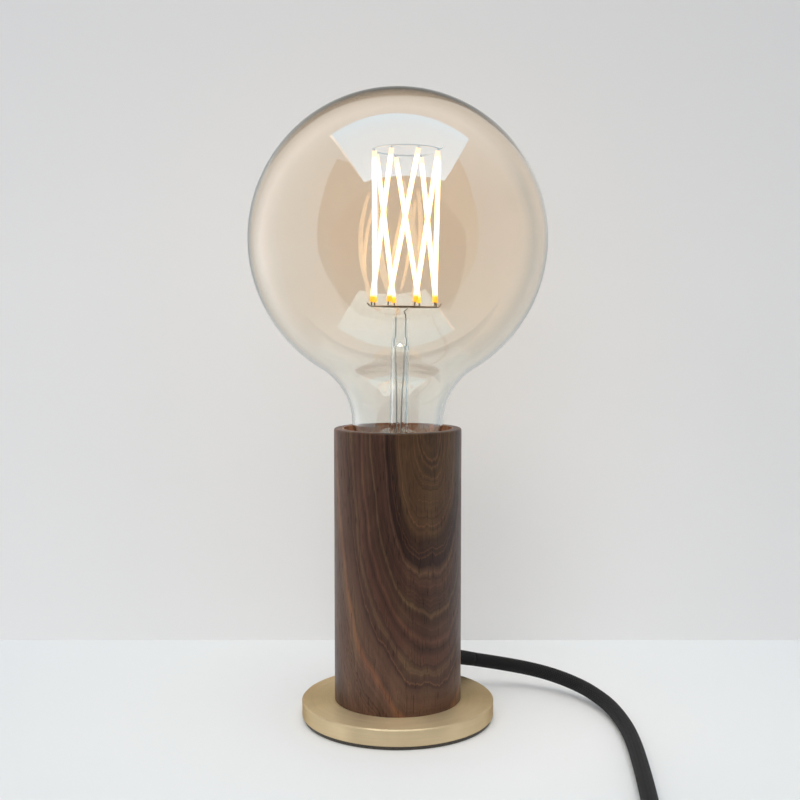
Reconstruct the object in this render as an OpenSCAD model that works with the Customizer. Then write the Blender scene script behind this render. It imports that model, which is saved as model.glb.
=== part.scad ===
// Bare bulb table lamp: a turned wooden column on a metal disc, an E27 lampholder hidden in the
// column's mouth, a large clear globe bulb with a cage of glowing sticks, and a mains cord with a
// rocker switch and a flat two pin plug. Millimetres, +Z up. The origin is the middle of the face
// that the lamp rests on, and -Y is the side that faces the viewer.

/* [Base] */
// How far the metal disc stands out round the column
base_overhang = 14; // [8:1:30]
// Thickness of the metal disc
base_t = 7; // [5.5:0.5:10]
// Chamfer on the disc's edges
base_chamfer = 0.5; // [0.2:0.1:1]
// How far the pad stays back from the disc's edge
pad_inset = 1; // [0.5:0.5:4]
// Thickness of the pad under the disc
pad_t = 1.5; // [1:0.1:3]

/* [Column] */
// Height of the wooden column
column_h = 116; // [108:1:180]
// Wall of the wood round the open mouth
rim_wall = 4; // [2.5:0.5:10]
// Radius on the edge of the mouth
rim_round = 0.8; // [0.4:0.1:1.2]
// Space round the lampholder in the mouth
mouth_gap = 3.5; // [2:0.5:8]
// Depth of the mouth that hides the lampholder
mouth_depth = 60; // [52:1:66]
// Wood between the mouth's floor and the wiring chamber
web_t = 18; // [10:1:24]
// Wall of the wood round the wiring chamber
chamber_wall = 11; // [9:0.5:12]
// Height of the cord's hole above the table
cord_hole_z = 17.5; // [16:0.5:19]
// Direction in which the cord leaves, counted from +X
cord_hole_angle = 57; // [45:1:70]

/* [Lampholder] */
// Outer diameter of the lampholder
holder_d = 39; // [37:0.5:47]
// Wall of the lampholder's shells
holder_wall = 2; // [1.6:0.1:2.2]
// Height of the terminal block's top above the lampholder's foot
block_top = 24; // [22:0.5:29]
// Thickness of the terminal block
block_h = 8; // [7:0.5:10]
// Outer diameter of the hollow threaded tube that carries the lampholder
tube_d = 10; // [8.5:0.5:12]
// Bore of the hollow threaded tube
tube_bore = 7.6; // [6.4:0.1:8]

/* [Bulb] */
// Diameter of the glass globe
globe_d = 125; // [95:1:150]
// Diameter of the glass neck
neck_d = 38.4; // [32:0.2:44]
// Radius of the hollow shoulder between globe and neck
shoulder_r = 27; // [20:1:34]
// Wall of the glass
glass_t = 1; // [0.8:0.1:1.5]
// Height of the metal cap
cap_h = 27; // [26:0.5:28]
// Pitch of the cap's thread
thread_pitch = 3.629; // [3.629:0.001:3.629]
// Height of the glass stem's top above the bulb's contact
stem_h = 80.3; // [72:0.1:90]
// Number of light sticks in the cage
stick_count = 8; // [4:1:10]
// Diameter of one light stick
stick_d = 2; // [1.5:0.1:2.6]
// Radius of the cage of sticks
cage_r = 14.3; // [12:0.1:18]
// Turn of a stick between its top and its foot
cage_twist = 48; // [20:1:60]
// Space between the cage and the crown of the glass
crown_gap = 24; // [16:1:34]
// Lean of the stem and cage inside the glass
stem_lean = 1; // [0:0.1:2]
// How far the cage stands off the stem's middle
cage_shift = 1.4; // [0:0.1:2]

/* [Cord] */
// Diameter of the round braided cord
cord_d = 6.2; // [5.8:0.1:7.4]
// Radius of the coil's outer loop
coil_outer_r = 43.5; // [41:0.5:47]
// Loops in the coil, half of them in each layer
coil_loops = 6; // [4:2:6]

/* [Switch] */
// Length of the switch on the cord
switch_l = 64; // [62:1:70]
// Width of the switch
switch_w = 26; // [25:0.5:31]
// Height of the switch's lower shell
switch_base_h = 8; // [7.6:0.2:9.6]
// Height of the switch's upper shell
switch_cover_h = 9; // [8.6:0.2:10.8]
// Wall of the switch's shells
switch_wall = 1.8; // [1.5:0.1:2.2]
// Width of the rocker
rocker_w = 13; // [11:0.5:14]
// Length of the rocker
rocker_l = 21; // [18:0.5:24]
// Tilt of the rocker to either side
rocker_tilt = 8; // [6:0.5:9]
// Diameter of the rocker's pin
rocker_pin_d = 2.4; // [2:0.1:2.9]

/* [Plug] */
// Width of the plug's body
plug_w = 35.3; // [33:0.1:40]
// Thickness of the plug's body
plug_t = 13.7; // [13.7:0.1:16.4]
// Length of the plug's body
plug_l = 34; // [30:1:40]
// Length of the plug's tapered tail
tail_l = 24; // [20:1:30]
// Diameter of a plug pin at its tip
pin_d = 4; // [4:0.1:4.8]
// Length of a plug pin outside the body
pin_l = 19; // [17:0.5:23]
// Length of the insulating sleeve on a pin
sleeve_l = 10; // [8:0.5:12]
// Distance between the two pins
pin_spacing = 18.6; // [17:0.1:19]

/* [Hidden] */

// Clearances, each on one side
face_gap = 0.3;
slip = 0.1;
press = 0.02;
running = 0.05;
// How far a cut runs past the face it opens
cut = 1;
// Sides of large and of small round shapes
fine = 96;
small = 32;

// Base and column
column_r = holder_d / 2 + mouth_gap + rim_wall;
base_r = column_r + base_overhang;
base_top = pad_t + base_t;
column_top = base_top + column_h;
mouth_r = column_r - rim_wall;
mouth_floor = column_top - mouth_depth;
chamber_r = column_r - chamber_wall;
chamber_top = mouth_floor - web_t;
chamber_floor = base_top;

// Base screws
base_screw_count = 3;
base_screw_turn = 100;
base_screw_d = 4;
base_screw_head_d = 7.6;
base_screw_head_h = 2.4;
base_screw_l = 22;
base_screw_tip = 3;
base_screw_ring = (column_r + chamber_r) / 2;
base_screw_turns = [for (i = [0 : base_screw_count - 1]) base_screw_turn + i * 360 / base_screw_count];

// Support tube, its nuts and washer
nut_d = tube_d + 8;
nut_h = 3.5;
washer_t = 1;
tube_end = 1.5;
tube_above = 9;

// Cord's way out of the column
cord_r = cord_d / 2;
sleeve_mouth_r = cord_r + 0.9;
sleeve_tip_r = cord_r + 0.2;
sleeve_collar_r = sleeve_mouth_r + 1.4;
cord_hole_r = sleeve_mouth_r + 0.5;
sleeve_inner = chamber_r - 3;

// Cord clamp on the disc
clamp_from_wall = 8;
clamp_along = chamber_r - clamp_from_wall;
clamp_side = cord_r + 4.2;
clamp_w = 7;
clamp_l = 2 * clamp_side + 5.4;
clamp_bed_h = 2;
clamp_bridge_t = 2.2;
clamp_screw_d = 3;
clamp_head_d = 4.8;
clamp_head_h = 1.8;
clamp_screw_depth = 4;
clamp_wall = 1.6;
clamp_top = cord_hole_z - cord_r + clamp_bed_h;
wire_start = clamp_along - clamp_w / 2 - 3;

// Lampholder
holder_r = holder_d / 2;
holder_floor_t = 3;
block_ledge = 2;
block_r = holder_r - holder_wall - slip;
block_z = mouth_floor + block_top;
terminal = [8, -8.5];
terminal_screw_d = 3;
contact_t = 0.5;
contact_rise = 1.9;
contact_w = 6;
shell_flange_t = 0.5;
skirt_drop = 5.2;

// Thread of cap and lampholder: six rows of points to a turn, thirty points round it
thread_rows = 6;
thread_steps = 30;
thread_depth = 0.9;
thread_gap = 0.4;
shell_t = 0.5;
shell_thread_z = 2.4;
shell_turns = 4.5;

// Bulb, measured up from its contact
bulb_z = block_z + contact_rise + face_gap;
button_r = 4.8;
button_h = 1.5;
insulator_top_r = 10.4;
insulator_h = 5.6;
cap_root_r = 12.2;
cap_bore_r = cap_root_r - shell_t;
cap_rim_r = 13.6;
cap_foot_z = 4.8;
cap_thread_z = 7;
cap_turns = 3.5;
cap_top = bulb_z + cap_h;
board_w = 2 * (cap_bore_r - 0.4);
board_h = 12;
board_t = 1;
board_z = bulb_z + 6.4;

// Glass
globe_r = globe_d / 2;
neck_r = neck_d / 2;
neck_turn_r = 9;
neck_turn_x = neck_r - neck_turn_r;
// The glass clears the cap's rim from above, and the rim's inner edge from the side
neck_turn_z = cap_top + max(
  face_gap + sqrt(pow(neck_turn_r, 2) - pow(cap_rim_r - neck_turn_x, 2)),
  slip + sqrt(pow(neck_turn_r, 2) - pow(cap_rim_r - shell_t - neck_turn_x, 2))
);
neck_straight = 0.2;
shoulder_x = neck_r + shoulder_r;
shoulder_z = neck_turn_z + neck_straight;
globe_z = shoulder_z + sqrt(pow(globe_r + shoulder_r, 2) - pow(shoulder_x, 2));
glass_foot_r = cap_bore_r - slip;
glass_foot_z = cap_top - 5;

// Stem and cage
stem_pivot_z = bulb_z + 10;
stem_r = 3.8;
stem_t = 0.9;
stem_foot_z = glass_foot_z;
stem_foot_r = glass_foot_r - glass_t - 0.5;
stem_flare_h = 9;
stem_top = bulb_z + stem_h;
press_l = 8.5;
press_r = 3.4;
press_t = 3.2;
press_z = stem_top - press_l;
lead_x = 2.1;
lead_r = 0.3;
foot_ring_z = stem_top + 4.6;
crown_ring_z = globe_z + globe_r - glass_t - crown_gap;
cage_top_turn = -115.5;
stick_foot_gap = 1.9;
stick_crown_gap = 1.1;
lead_turns = [-82, 100];

// Switch
switch_at = [84, -168];
switch_corner_r = 8;
switch_bevel = 1.5;
switch_top = switch_base_h + switch_cover_h;
rocker_z = switch_top - 3.5;
rocker_gap = 0.5;
rocker_crown = 4.6;
rocker_dish = 0.7;
rocker_below = 3.5;
ear_t = 1.6;
ear_half = 3;
ear_x = rocker_w / 2 + 0.4;
rail_x = 3.5;
rail_w = 4;
rail_end = 20;
rail_top = switch_base_h - 0.8;
strip_w = 3;
strip_t = 0.6;
stud_y = 7;
stud_r = 1.2;
bridge_t = 0.6;
bridge_l = 10;
bridge_w = 2;
bridge_low = (rocker_below + bridge_t) * cos(rocker_tilt) + (stud_y + bridge_w / 2) * sin(rocker_tilt);
stud_top = rocker_z - bridge_low - face_gap;
cord_grip = 8;
saddle_y = switch_l / 2 - 5;
saddle_t = 3;
saddle_w = 14;
saddle_top = 13;
boss_at = [8.2, 18.5];
boss_r = 2.6;
switch_screw_d = 2.6;
switch_screw_head_d = 4.6;
switch_screw_head_h = 1.5;
switch_screw_l = 12;

// Plug
plug_x = -50;
plug_face_y = -140;
plug_z = plug_t / 2;
plug_round = 6;
tail_root_r = cord_r + 2.1;
tail_tip_r = cord_r + 0.5;
pin_r = pin_d / 2;
pin_neck_r = 1.48;
sleeve_t = 0.3;
pin_root_l = 12;

// Ways of the cord, chosen by eye. The strain relief bends from the column's face to its tip.
sleeve_points = [
  [14.7, 22.6, 17.5], [17.5, 26.6, 17.4], [20.7, 30.1, 16.9], [24.2, 33, 16.2], [27.8, 35.4, 15.2],
  [31.4, 37.2, 14.2], [35, 38.4, 13.3]
];
// From the strain relief to the switch
lamp_points = [
  [35, 38.4, 13.3], [38.6, 39.6, 12.4], [45, 40.3, 11.2], [53, 39.7, 10], [60, 38, 9.1], [67, 34.7, 8.3],
  [73.5, 30.3, 7.4], [79, 24.8, 6.6], [84, 18.5, 5.7], [87.5, 11.5, 5], [90.5, 3.5, 4.3],
  [92.5, -5, 3.6], [93.6, -15, 3.1], [93.8, -27, 3.1], [93.2, -41, 3.1], [91.8, -57, 3.1],
  [90, -74, 3.1], [88, -91, 3.1], [86, -106, 3.3], [84.6, -118, 4.6], [84.1, -127.5, 6.5],
  [84, -136, 7.9], [84, -144, 8]
];
// From the switch to the coil
switch_points = [
  [84, -192, 8], [84, -200, 7.9], [83.9, -207, 6.7], [83.1, -213.5, 5.2], [81, -219.5, 4],
  [77.5, -225, 3.3], [72.5, -229.6, 3.1], [66.5, -233, 3.1], [59, -235, 3.1], [50, -235.5, 3.1],
  [38, -235.5, 3.1], [26.2, -235.5, 3.1]
];
// From the coil to the plug
plug_points = [
  [13.8, -235.5, 9.85], [8, -235.5, 9.85], [0, -235.6, 8.9], [-8, -235.7, 7], [-16, -235.3, 5.2],
  [-24, -233.6, 3.8], [-31.5, -230.5, 3.2], [-38.2, -226, 3.1], [-43.7, -220.3, 3.6],
  [-47.6, -213.6, 4.7], [-49.6, -206, 6.2], [-50, -201, 6.85], [-50, -198, 6.85]
];
cord_sides = 10;

// Coil
coil_at = [20, -192];
coil_rings = 24;
coil_sides = 6;
coil_turn = -90;
loop_gap = 0.55;
loop_pitch = cord_d + loop_gap;
climb_loops = 0.5;

/* ---- shapes that several pieces share ---- */

function unit(v) = v / norm(v);

// Points of an arc about [x, z], from angle a to angle b
function arc(x, z, r, a, b, n) = [
  for (i = [0 : n]) let (t = a + (b - a) * i / n) [x + r * cos(t), z + r * sin(t)]
];

// Direction of a path at its point i
function heading(p, i) = unit(p[min(i + 1, len(p) - 1)] - p[max(i - 1, 0)]);

// The part of v that is square to the direction t
function square_to(t, v) = unit(v - (v * t) * t);

// A first direction square to a path: level, unless the path starts upright
function first_side(t) = abs(t[2]) < 0.9 ? square_to(t, cross(t, [0, 0, 1])) : square_to(t, [1, 0, 0]);

// One direction for each point of a path, carried along it without twist
function path_sides(p) = [
  for (i = 0, u = first_side(heading(p, 0)); i < len(p); i = i + 1, u = square_to(heading(p, i), u)) u
];

// A tube of flat sides along a path, with one radius for each point
module swept_tube(p, radii, sides) {
  last = len(p) - 1;
  across = path_sides(p);
  points = [
    for (i = [0 : last]) let (u = across[i], v = cross(heading(p, i), u))
      for (k = [0 : sides - 1]) let (a = (k + 0.5) * 360 / sides)
        p[i] + radii[i] * (cos(a) * u + sin(a) * v)
  ];
  skin = [
    for (i = [0 : last - 1]) for (k = [0 : sides - 1])
      let (m = (k + 1) % sides, a = i * sides, b = a + sides)
        each [[a + k, b + k, b + m], [a + k, b + m, a + m]]
  ];
  foot = [for (k = [1 : sides - 2]) [0, k, k + 1]];
  head = [for (k = [1 : sides - 2]) [last * sides, last * sides + k + 1, last * sides + k]];
  polyhedron(points, concat(skin, foot, head), convexity = 10);
}

// A tube of one radius along a path
module plain_tube(p, r, sides) {
  swept_tube(p, [for (q = p) r], sides);
}

// A straight round rod from a to b
module rod(a, b, r) {
  v = b - a;
  translate(a) rotate([0, acos(v[2] / norm(v)), atan2(v[1], v[0])]) cylinder(h = norm(v), r = r, $fn = small);
}

// A ring with a plain bore, standing on z = 0
module washer(outer_r, bore_r, h) {
  difference() {
    cylinder(h = h, r = outer_r, $fn = fine);
    translate([0, 0, -cut]) cylinder(h = h + 2 * cut, r = bore_r, $fn = small);
  }
}

// A flat block with round upright corners, standing on z = 0, long in Y
module round_slab(l, w, h, r) {
  linear_extrude(height = h) union() {
    square([w - 2 * r, l], center = true);
    square([w, l - 2 * r], center = true);
    for (sx = [-1, 1]) for (sy = [-1, 1])
      translate([sx * (w / 2 - r), sy * (l / 2 - r)]) circle(r = r, $fn = small);
  }
}

// A bar along Y, standing on z = 0, whose sloping upper sides reach the width w at a depth b
module bevel_bar(l, w, h, b) {
  rotate([90, 0, 0]) linear_extrude(height = l, center = true) polygon([
    [-w / 2 - cut, 0], [w / 2 + cut, 0], [w / 2 + cut, h - b - cut], [w / 2 - b, h],
    [b - w / 2, h], [-w / 2 - cut, h - b - cut]
  ]);
}

// A screw with a slotted head, its head's seat at z = 0 and its shank running down
module slot_screw(d, l, head_d, head_h) {
  difference() {
    union() {
      translate([0, 0, -l]) cylinder(h = l + head_h / 2, d = d, $fn = small);
      cylinder(h = head_h, d = head_d, $fn = small);
    }
    translate([-head_d, -head_h / 4, head_h / 2]) cube([2 * head_d, head_h / 2, head_h]);
  }
}

// Height of the thread's wave at a turn and a height: 0 in the root and 1 on the crest
function wave(turn, z) = (1 + cos(360 * z / thread_pitch - turn)) / 2;

// A turned ring with a rolled thread. Each point of its outline is [radius, height, share of thread].
module threaded_ring(outline) {
  n = len(outline);
  points = [
    for (i = [0 : thread_steps - 1]) for (p = outline)
      let (a = i * 360 / thread_steps, r = p[0] + p[2] * thread_depth * wave(a, p[1]))
        [r * cos(a), r * sin(a), p[1]]
  ];
  faces = [
    for (i = [0 : thread_steps - 1]) for (k = [0 : n - 1])
      let (m = (k + 1) % n, a = i * n, b = ((i + 1) % thread_steps) * n)
        each [[a + k, a + m, b + m], [a + k, b + m, b + k]]
  ];
  polyhedron(points, faces, convexity = 10);
}

/* ---- base and column ---- */

module base_pad() {
  color([0.09, 0.085, 0.08]) cylinder(h = pad_t, r = base_r - pad_inset, $fn = fine);
}

// Puts children at each base screw
module at_base_screws() {
  for (a = base_screw_turns) rotate([0, 0, a]) translate([base_screw_ring, 0, pad_t]) children();
}

// Puts children at the clamp, with +X along the cord
module at_clamp() {
  rotate([0, 0, cord_hole_angle]) translate([clamp_along, 0, 0]) children();
}

module clamp_screw_holes(z, h, d) {
  for (s = [-1, 1]) translate([0, s * clamp_side, z]) cylinder(h = h, d = d, $fn = small);
}

// Turned metal disc, with countersunk holes from below and two blind holes for the clamp
module base_disc() {
  c = base_chamfer;
  hole_d = base_screw_d + 2 * slip;
  sink_d = base_screw_head_d + 2 * slip;
  color([0.72, 0.60, 0.38]) difference() {
    translate([0, 0, pad_t]) rotate_extrude($fn = fine) polygon([
      [0, 0], [base_r - c, 0], [base_r, c], [base_r, base_t - c], [base_r - c, base_t], [0, base_t]
    ]);
    at_base_screws() {
      translate([0, 0, -cut]) cylinder(h = base_t + 2 * cut, d = hole_d, $fn = small);
      translate([0, 0, -cut]) cylinder(h = cut + slip, d = sink_d, $fn = small);
      translate([0, 0, slip]) cylinder(h = base_screw_head_h, d1 = sink_d, d2 = hole_d, $fn = small);
    }
    at_clamp() clamp_screw_holes(base_top - clamp_screw_depth, clamp_screw_depth + cut,
      clamp_screw_d + 2 * press);
  }
}

module base_screws() {
  color([0.62, 0.62, 0.6]) at_base_screws() difference() {
    union() {
      cylinder(h = base_screw_l, d = base_screw_d, $fn = small);
      cylinder(h = base_screw_head_h, d1 = base_screw_head_d, d2 = base_screw_d, $fn = small);
      translate([0, 0, base_screw_l]) cylinder(h = base_screw_tip, d1 = base_screw_d, d2 = 0.6, $fn = small);
    }
    for (a = [0, 90]) rotate([0, 0, a]) translate([-2, -0.4, -cut]) cube([4, 0.8, cut + 1.4]);
  }
}

// Turned column: a mouth above, a wiring chamber below, and a bore for the support tube between
module column() {
  screw_depth = base_screw_l + base_screw_tip + cut - base_t;
  color([0.26, 0.16, 0.11]) difference() {
    translate([0, 0, base_top]) rotate_extrude($fn = fine) polygon(concat(
      [[0, 0], [column_r, 0]],
      arc(column_r - rim_round, column_h - rim_round, rim_round, 0, 90, 6),
      [[0, column_h]]
    ));
    translate([0, 0, chamber_floor - cut])
      cylinder(h = chamber_top - chamber_floor + cut, r = chamber_r, $fn = fine);
    translate([0, 0, chamber_top - cut]) cylinder(h = web_t + 2 * cut, d = tube_d + 2 * slip, $fn = small);
    translate([0, 0, mouth_floor]) cylinder(h = mouth_depth + cut, r = mouth_r, $fn = fine);
    at_base_screws() translate([0, 0, base_t - cut])
      cylinder(h = screw_depth + cut, d = base_screw_d + 2 * slip, $fn = small);
    rotate([0, 0, cord_hole_angle]) translate([0, 0, cord_hole_z]) rotate([0, 90, 0])
      cylinder(h = column_r + cut, r = cord_hole_r, $fn = small);
  }
}

// Hollow threaded tube that carries the lampholder on the column
module support_tube() {
  z = chamber_top - washer_t - nut_h - tube_end;
  color([0.80, 0.72, 0.45]) translate([0, 0, z])
    washer(tube_d / 2, tube_bore / 2, mouth_floor + tube_above - z);
}

module tube_nuts() {
  color([0.80, 0.72, 0.45]) for (z = [chamber_top - washer_t - nut_h, mouth_floor + holder_floor_t])
    translate([0, 0, z]) difference() {
      cylinder(h = nut_h, d = nut_d, $fn = 6);
      translate([0, 0, -cut]) cylinder(h = nut_h + 2 * cut, d = tube_d + 2 * press, $fn = small);
    }
}

module tube_washer() {
  color([0.75, 0.75, 0.73]) translate([0, 0, chamber_top - washer_t])
    washer(nut_d / 2 + 1.5, tube_d / 2 + slip, washer_t);
}

/* ---- where the cord enters ---- */

module cord_groove() {
  translate([-clamp_w, 0, cord_hole_z]) rotate([0, 90, 0])
    cylinder(h = 2 * clamp_w, r = cord_r + slip, $fn = small);
}

module clamp_block() {
  h = clamp_top - chamber_floor;
  color([0.85, 0.85, 0.82]) at_clamp() difference() {
    translate([-clamp_w / 2, -clamp_l / 2, chamber_floor]) cube([clamp_w, clamp_l, h]);
    cord_groove();
    clamp_screw_holes(chamber_floor - cut, h + 2 * cut, clamp_screw_d + 2 * slip);
  }
}

module clamp_bridge() {
  z = clamp_top + face_gap;
  hump = cord_r + slip + clamp_wall;
  color([0.85, 0.85, 0.82]) at_clamp() difference() {
    union() {
      translate([-clamp_w / 2, -clamp_l / 2, z]) cube([clamp_w, clamp_l, clamp_bridge_t]);
      translate([-clamp_w / 2, -hump, z]) cube([clamp_w, 2 * hump, cord_hole_z + hump - z]);
    }
    cord_groove();
    clamp_screw_holes(z - cut, clamp_bridge_t + 2 * cut, clamp_screw_d + 2 * slip);
  }
}

module clamp_screws() {
  seat = clamp_top + face_gap + clamp_bridge_t;
  l = seat - base_top + clamp_screw_depth - slip;
  color([0.7, 0.7, 0.68]) at_clamp() for (s = [-1, 1])
    translate([0, s * clamp_side, seat]) slot_screw(clamp_screw_d, l, clamp_head_d, clamp_head_h);
}

// Moulded strain relief: a collar in the chamber, a neck in the hole and a tail that tapers to the cord
module cord_sleeve() {
  last = len(sleeve_points) - 1;
  way = [cos(cord_hole_angle), sin(cord_hole_angle), 0];
  level = [0, 0, cord_hole_z];
  root = [for (d = [0, 1.6, 1.9]) way * (sleeve_inner + d) + level];
  taper = [for (i = [0 : last]) sleeve_mouth_r + (sleeve_tip_r - sleeve_mouth_r) * i / last];
  color([0.05, 0.05, 0.052]) swept_tube(
    concat(root, sleeve_points),
    concat([sleeve_collar_r, sleeve_collar_r, sleeve_mouth_r], taper), 16
  );
}

// Sheathed cord between the strain relief and the clamp
module inner_cord() {
  color([0.05, 0.05, 0.052]) rotate([0, 0, cord_hole_angle]) translate([wire_start, 0, cord_hole_z])
    rotate([0, 90, 0]) cylinder(h = sleeve_inner - wire_start, r = cord_r, $fn = small);
}

// Two insulated wires, from the end of the sheath up through the tube to the terminals
module inner_wires() {
  way = [cos(cord_hole_angle), sin(cord_hole_angle), 0];
  side = [-sin(cord_hole_angle), cos(cord_hole_angle), 0];
  block_foot = block_z - block_h;
  tube_top = mouth_floor + tube_above;
  for (s = [-1, 1]) color(s > 0 ? [0.42, 0.25, 0.14] : [0.16, 0.35, 0.62]) plain_tube([
    way * wire_start + side * s * 1.4 + [0, 0, cord_hole_z],
    way * (wire_start - 1) + side * s * 1.4 + [0, 0, cord_hole_z],
    way * (wire_start - 2) + side * s * 1.5 + [0, 0, cord_hole_z + 1],
    side * s * 1.6 + [0, 0, cord_hole_z + 3.5],
    side * s * 1.6 + [0, 0, cord_hole_z + 9],
    side * s * 1.6 + [0, 0, tube_top - 1],
    side * s * 1.8 + [0, 0, tube_top + 0.8],
    [-s * (terminal[0] - 2), terminal[1] + 2, block_foot - 3.4],
    [-s * terminal[0], terminal[1], block_foot - 1.6],
    [-s * terminal[0], terminal[1], block_foot + 3.5]
  ], 1.1, 8);
}

/* ---- lampholder ---- */

module holder_body() {
  color([0.10, 0.10, 0.10]) translate([0, 0, mouth_floor]) difference() {
    cylinder(h = block_top, r = holder_r, $fn = fine);
    translate([0, 0, holder_floor_t]) cylinder(h = block_top, r = block_r + slip - block_ledge, $fn = fine);
    translate([0, 0, block_top - block_h]) cylinder(h = block_top, r = block_r + slip, $fn = fine);
    translate([0, 0, -cut]) cylinder(h = block_top, d = tube_d + 2 * slip, $fn = small);
  }
}

// Ceramic block: two wire holes from below, two screw holes from the side and a rivet hole
module holder_block() {
  wire_hole_d = 2.8;
  color([0.90, 0.89, 0.85]) translate([0, 0, block_z - block_h]) difference() {
    cylinder(h = block_h, r = block_r, $fn = fine);
    for (s = [-1, 1]) {
      translate([s * terminal[0], terminal[1], -cut]) cylinder(h = 5 + cut, d = wire_hole_d, $fn = small);
      translate([s * terminal[0], -block_r, 2.6]) rotate([-90, 0, 0])
        cylinder(h = block_r + terminal[1], d = terminal_screw_d + 2 * slip, $fn = small);
    }
  }
}

module terminal_screws() {
  start = block_r - 3;
  color([0.80, 0.72, 0.45]) for (s = [-1, 1])
    translate([s * terminal[0], -start, block_z - block_h + 2.6]) rotate([-90, 0, 0]) difference() {
      cylinder(h = start + terminal[1] - 1.1 - slip, d = terminal_screw_d, $fn = small);
      translate([-2, -0.3, -cut]) cube([4, 0.6, cut + 0.8]);
    }
}

// Sprung middle contact: a strip fixed to the block that rises under the bulb's button
module holder_contact() {
  rise = contact_rise;
  t = contact_t;
  color([0.84, 0.74, 0.45]) translate([0, contact_w / 2, block_z]) rotate([90, 0, 0])
    linear_extrude(height = contact_w) polygon([
      [-9.5, 0], [-5.5, 0], [-3.2, rise - t], [3.2, rise - t], [4.4, rise - t - 0.8], [4.9, rise - t - 0.4],
      [3.5, rise], [-3.5, rise], [-5.8, t], [-9.5, t]
    ]);
}

// Screw shell: thread inside, plain outside, with a flange that the skirt holds on the block
module holder_shell() {
  inner_r = cap_root_r + thread_gap;
  clear_r = inner_r + thread_depth;
  outer_r = clear_r + shell_t;
  z = block_z + press;
  z_thread = block_z + shell_thread_z;
  rows = shell_turns * thread_rows;
  z_end = z_thread + shell_turns * thread_pitch;
  flange_r = outer_r + 1.4;
  color([0.83, 0.80, 0.70]) threaded_ring(concat(
    [[clear_r, z, 0], [flange_r, z, 0], [flange_r, z + shell_flange_t, 0], [outer_r, z + shell_flange_t, 0],
     [outer_r, z_end + 1.2, 0], [clear_r, z_end + 1.2, 0]],
    [for (k = [rows : -1 : 0]) [inner_r, z_thread + k * thread_pitch / thread_rows, 1]],
    [[clear_r, z_thread - 0.9, 0]]
  ));
}

// Skirt of the lampholder: it traps the shell's flange and guards the cap
module holder_skirt() {
  h = cap_top - skirt_drop - block_z;
  flange_r = cap_root_r + thread_gap + thread_depth + shell_t + 1.4;
  color([0.10, 0.10, 0.10]) translate([0, 0, block_z]) difference() {
    cylinder(h = h, r = holder_r, $fn = fine);
    translate([0, 0, -cut]) cylinder(h = cut + 1, r = flange_r + slip, $fn = fine);
    cylinder(h = h + cut, r = flange_r - 1, $fn = fine);
  }
}

/* ---- bulb ---- */

module bulb_button() {
  color([0.78, 0.76, 0.72]) translate([0, 0, bulb_z]) rotate_extrude($fn = small) polygon([
    [0, 0], [2.6, 0], [4.2, 0.4], [button_r, 1], [button_r, button_h], [0, button_h]
  ]);
}

module bulb_insulator() {
  z = button_h + slip;
  color([0.03, 0.03, 0.03]) translate([0, 0, bulb_z]) rotate_extrude($fn = fine) polygon([
    [0, z], [button_r + 0.8, z], [insulator_top_r, cap_foot_z - 0.5], [insulator_top_r, insulator_h],
    [0, insulator_h]
  ]);
}

// Screw cap: a curled foot round the insulator, the thread, a plain skirt and a flared rim
module bulb_cap() {
  foot_r = insulator_top_r + 0.4;
  z_foot = bulb_z + cap_foot_z;
  z_thread = bulb_z + cap_thread_z;
  rows = cap_turns * thread_rows;
  z_end = z_thread + cap_turns * thread_pitch;
  neck_z = z_end + 1;
  crest_r = cap_root_r + thread_depth;
  color([0.80, 0.78, 0.74]) threaded_ring(concat(
    [[foot_r, z_foot, 0], [foot_r + 0.6, z_foot, 0], [cap_root_r, z_foot + 1.2, 0]],
    [for (k = [0 : rows]) [cap_root_r, z_thread + k * thread_pitch / thread_rows, 1]],
    [[cap_root_r, neck_z, 0], [crest_r, neck_z + 0.8, 0], [crest_r, cap_top - 0.8, 0], [cap_rim_r, cap_top, 0],
     [cap_rim_r - shell_t, cap_top, 0], [crest_r - shell_t, cap_top - 0.8, 0],
     [crest_r - shell_t, neck_z + 1.1, 0], [cap_bore_r, neck_z + 0.3, 0], [cap_bore_r, z_foot + 1.4, 0]]
  ));
}

module driver_board() {
  color([0.16, 0.36, 0.22]) translate([-board_w / 2, -board_t / 2, board_z])
    cube([board_w, board_t, board_h]);
}

// What stands on the board: a chip and a choke in front, a capacitor and a resistor behind
module driver_parts() {
  front = -board_t / 2;
  back = board_t / 2;
  color([0.07, 0.07, 0.07]) translate([0, 0, board_z]) {
    translate([-7, front - 1.5, 3]) cube([5, 1.5, 4]);
    translate([4, front, 6]) rotate([90, 0, 0]) cylinder(h = 6, d = 5, $fn = small);
    translate([-4, back, 6]) rotate([-90, 0, 0]) cylinder(h = 7, d = 6, $fn = small);
    translate([3, back, 4]) cube([5, 1.2, 2.5]);
  }
}

// Half outline of the closed bulb from its crown to its foot, drawn in by t
function glass_outline(t) =
  let (
    join = atan2(shoulder_z - globe_z, shoulder_x),
    foot_r = glass_foot_r - t,
    turn_r = neck_turn_r - t,
    turn_end = -acos((foot_r - neck_turn_x) / turn_r)
  )
  concat(
    [[0, globe_z + globe_r - t]],
    arc(0, globe_z, globe_r - t, 87, join, 50),
    arc(shoulder_x, shoulder_z, shoulder_r + t, 180 + join, 180, 12),
    arc(neck_turn_x, neck_turn_z, turn_r, 0, turn_end, 8),
    [[foot_r, glass_foot_z]]
  );

module bulb_glass() {
  inner = glass_outline(glass_t);
  color([0.85, 0.76, 0.62, 0.35]) rotate_extrude($fn = fine)
    polygon(concat(glass_outline(0), [for (i = [len(inner) - 1 : -1 : 0]) inner[i]]));
}

// Leans the children with the stem
module on_stem() {
  translate([0, 0, stem_pivot_z]) rotate([0, stem_lean, 0]) translate([0, 0, -stem_pivot_z]) children();
}

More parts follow.
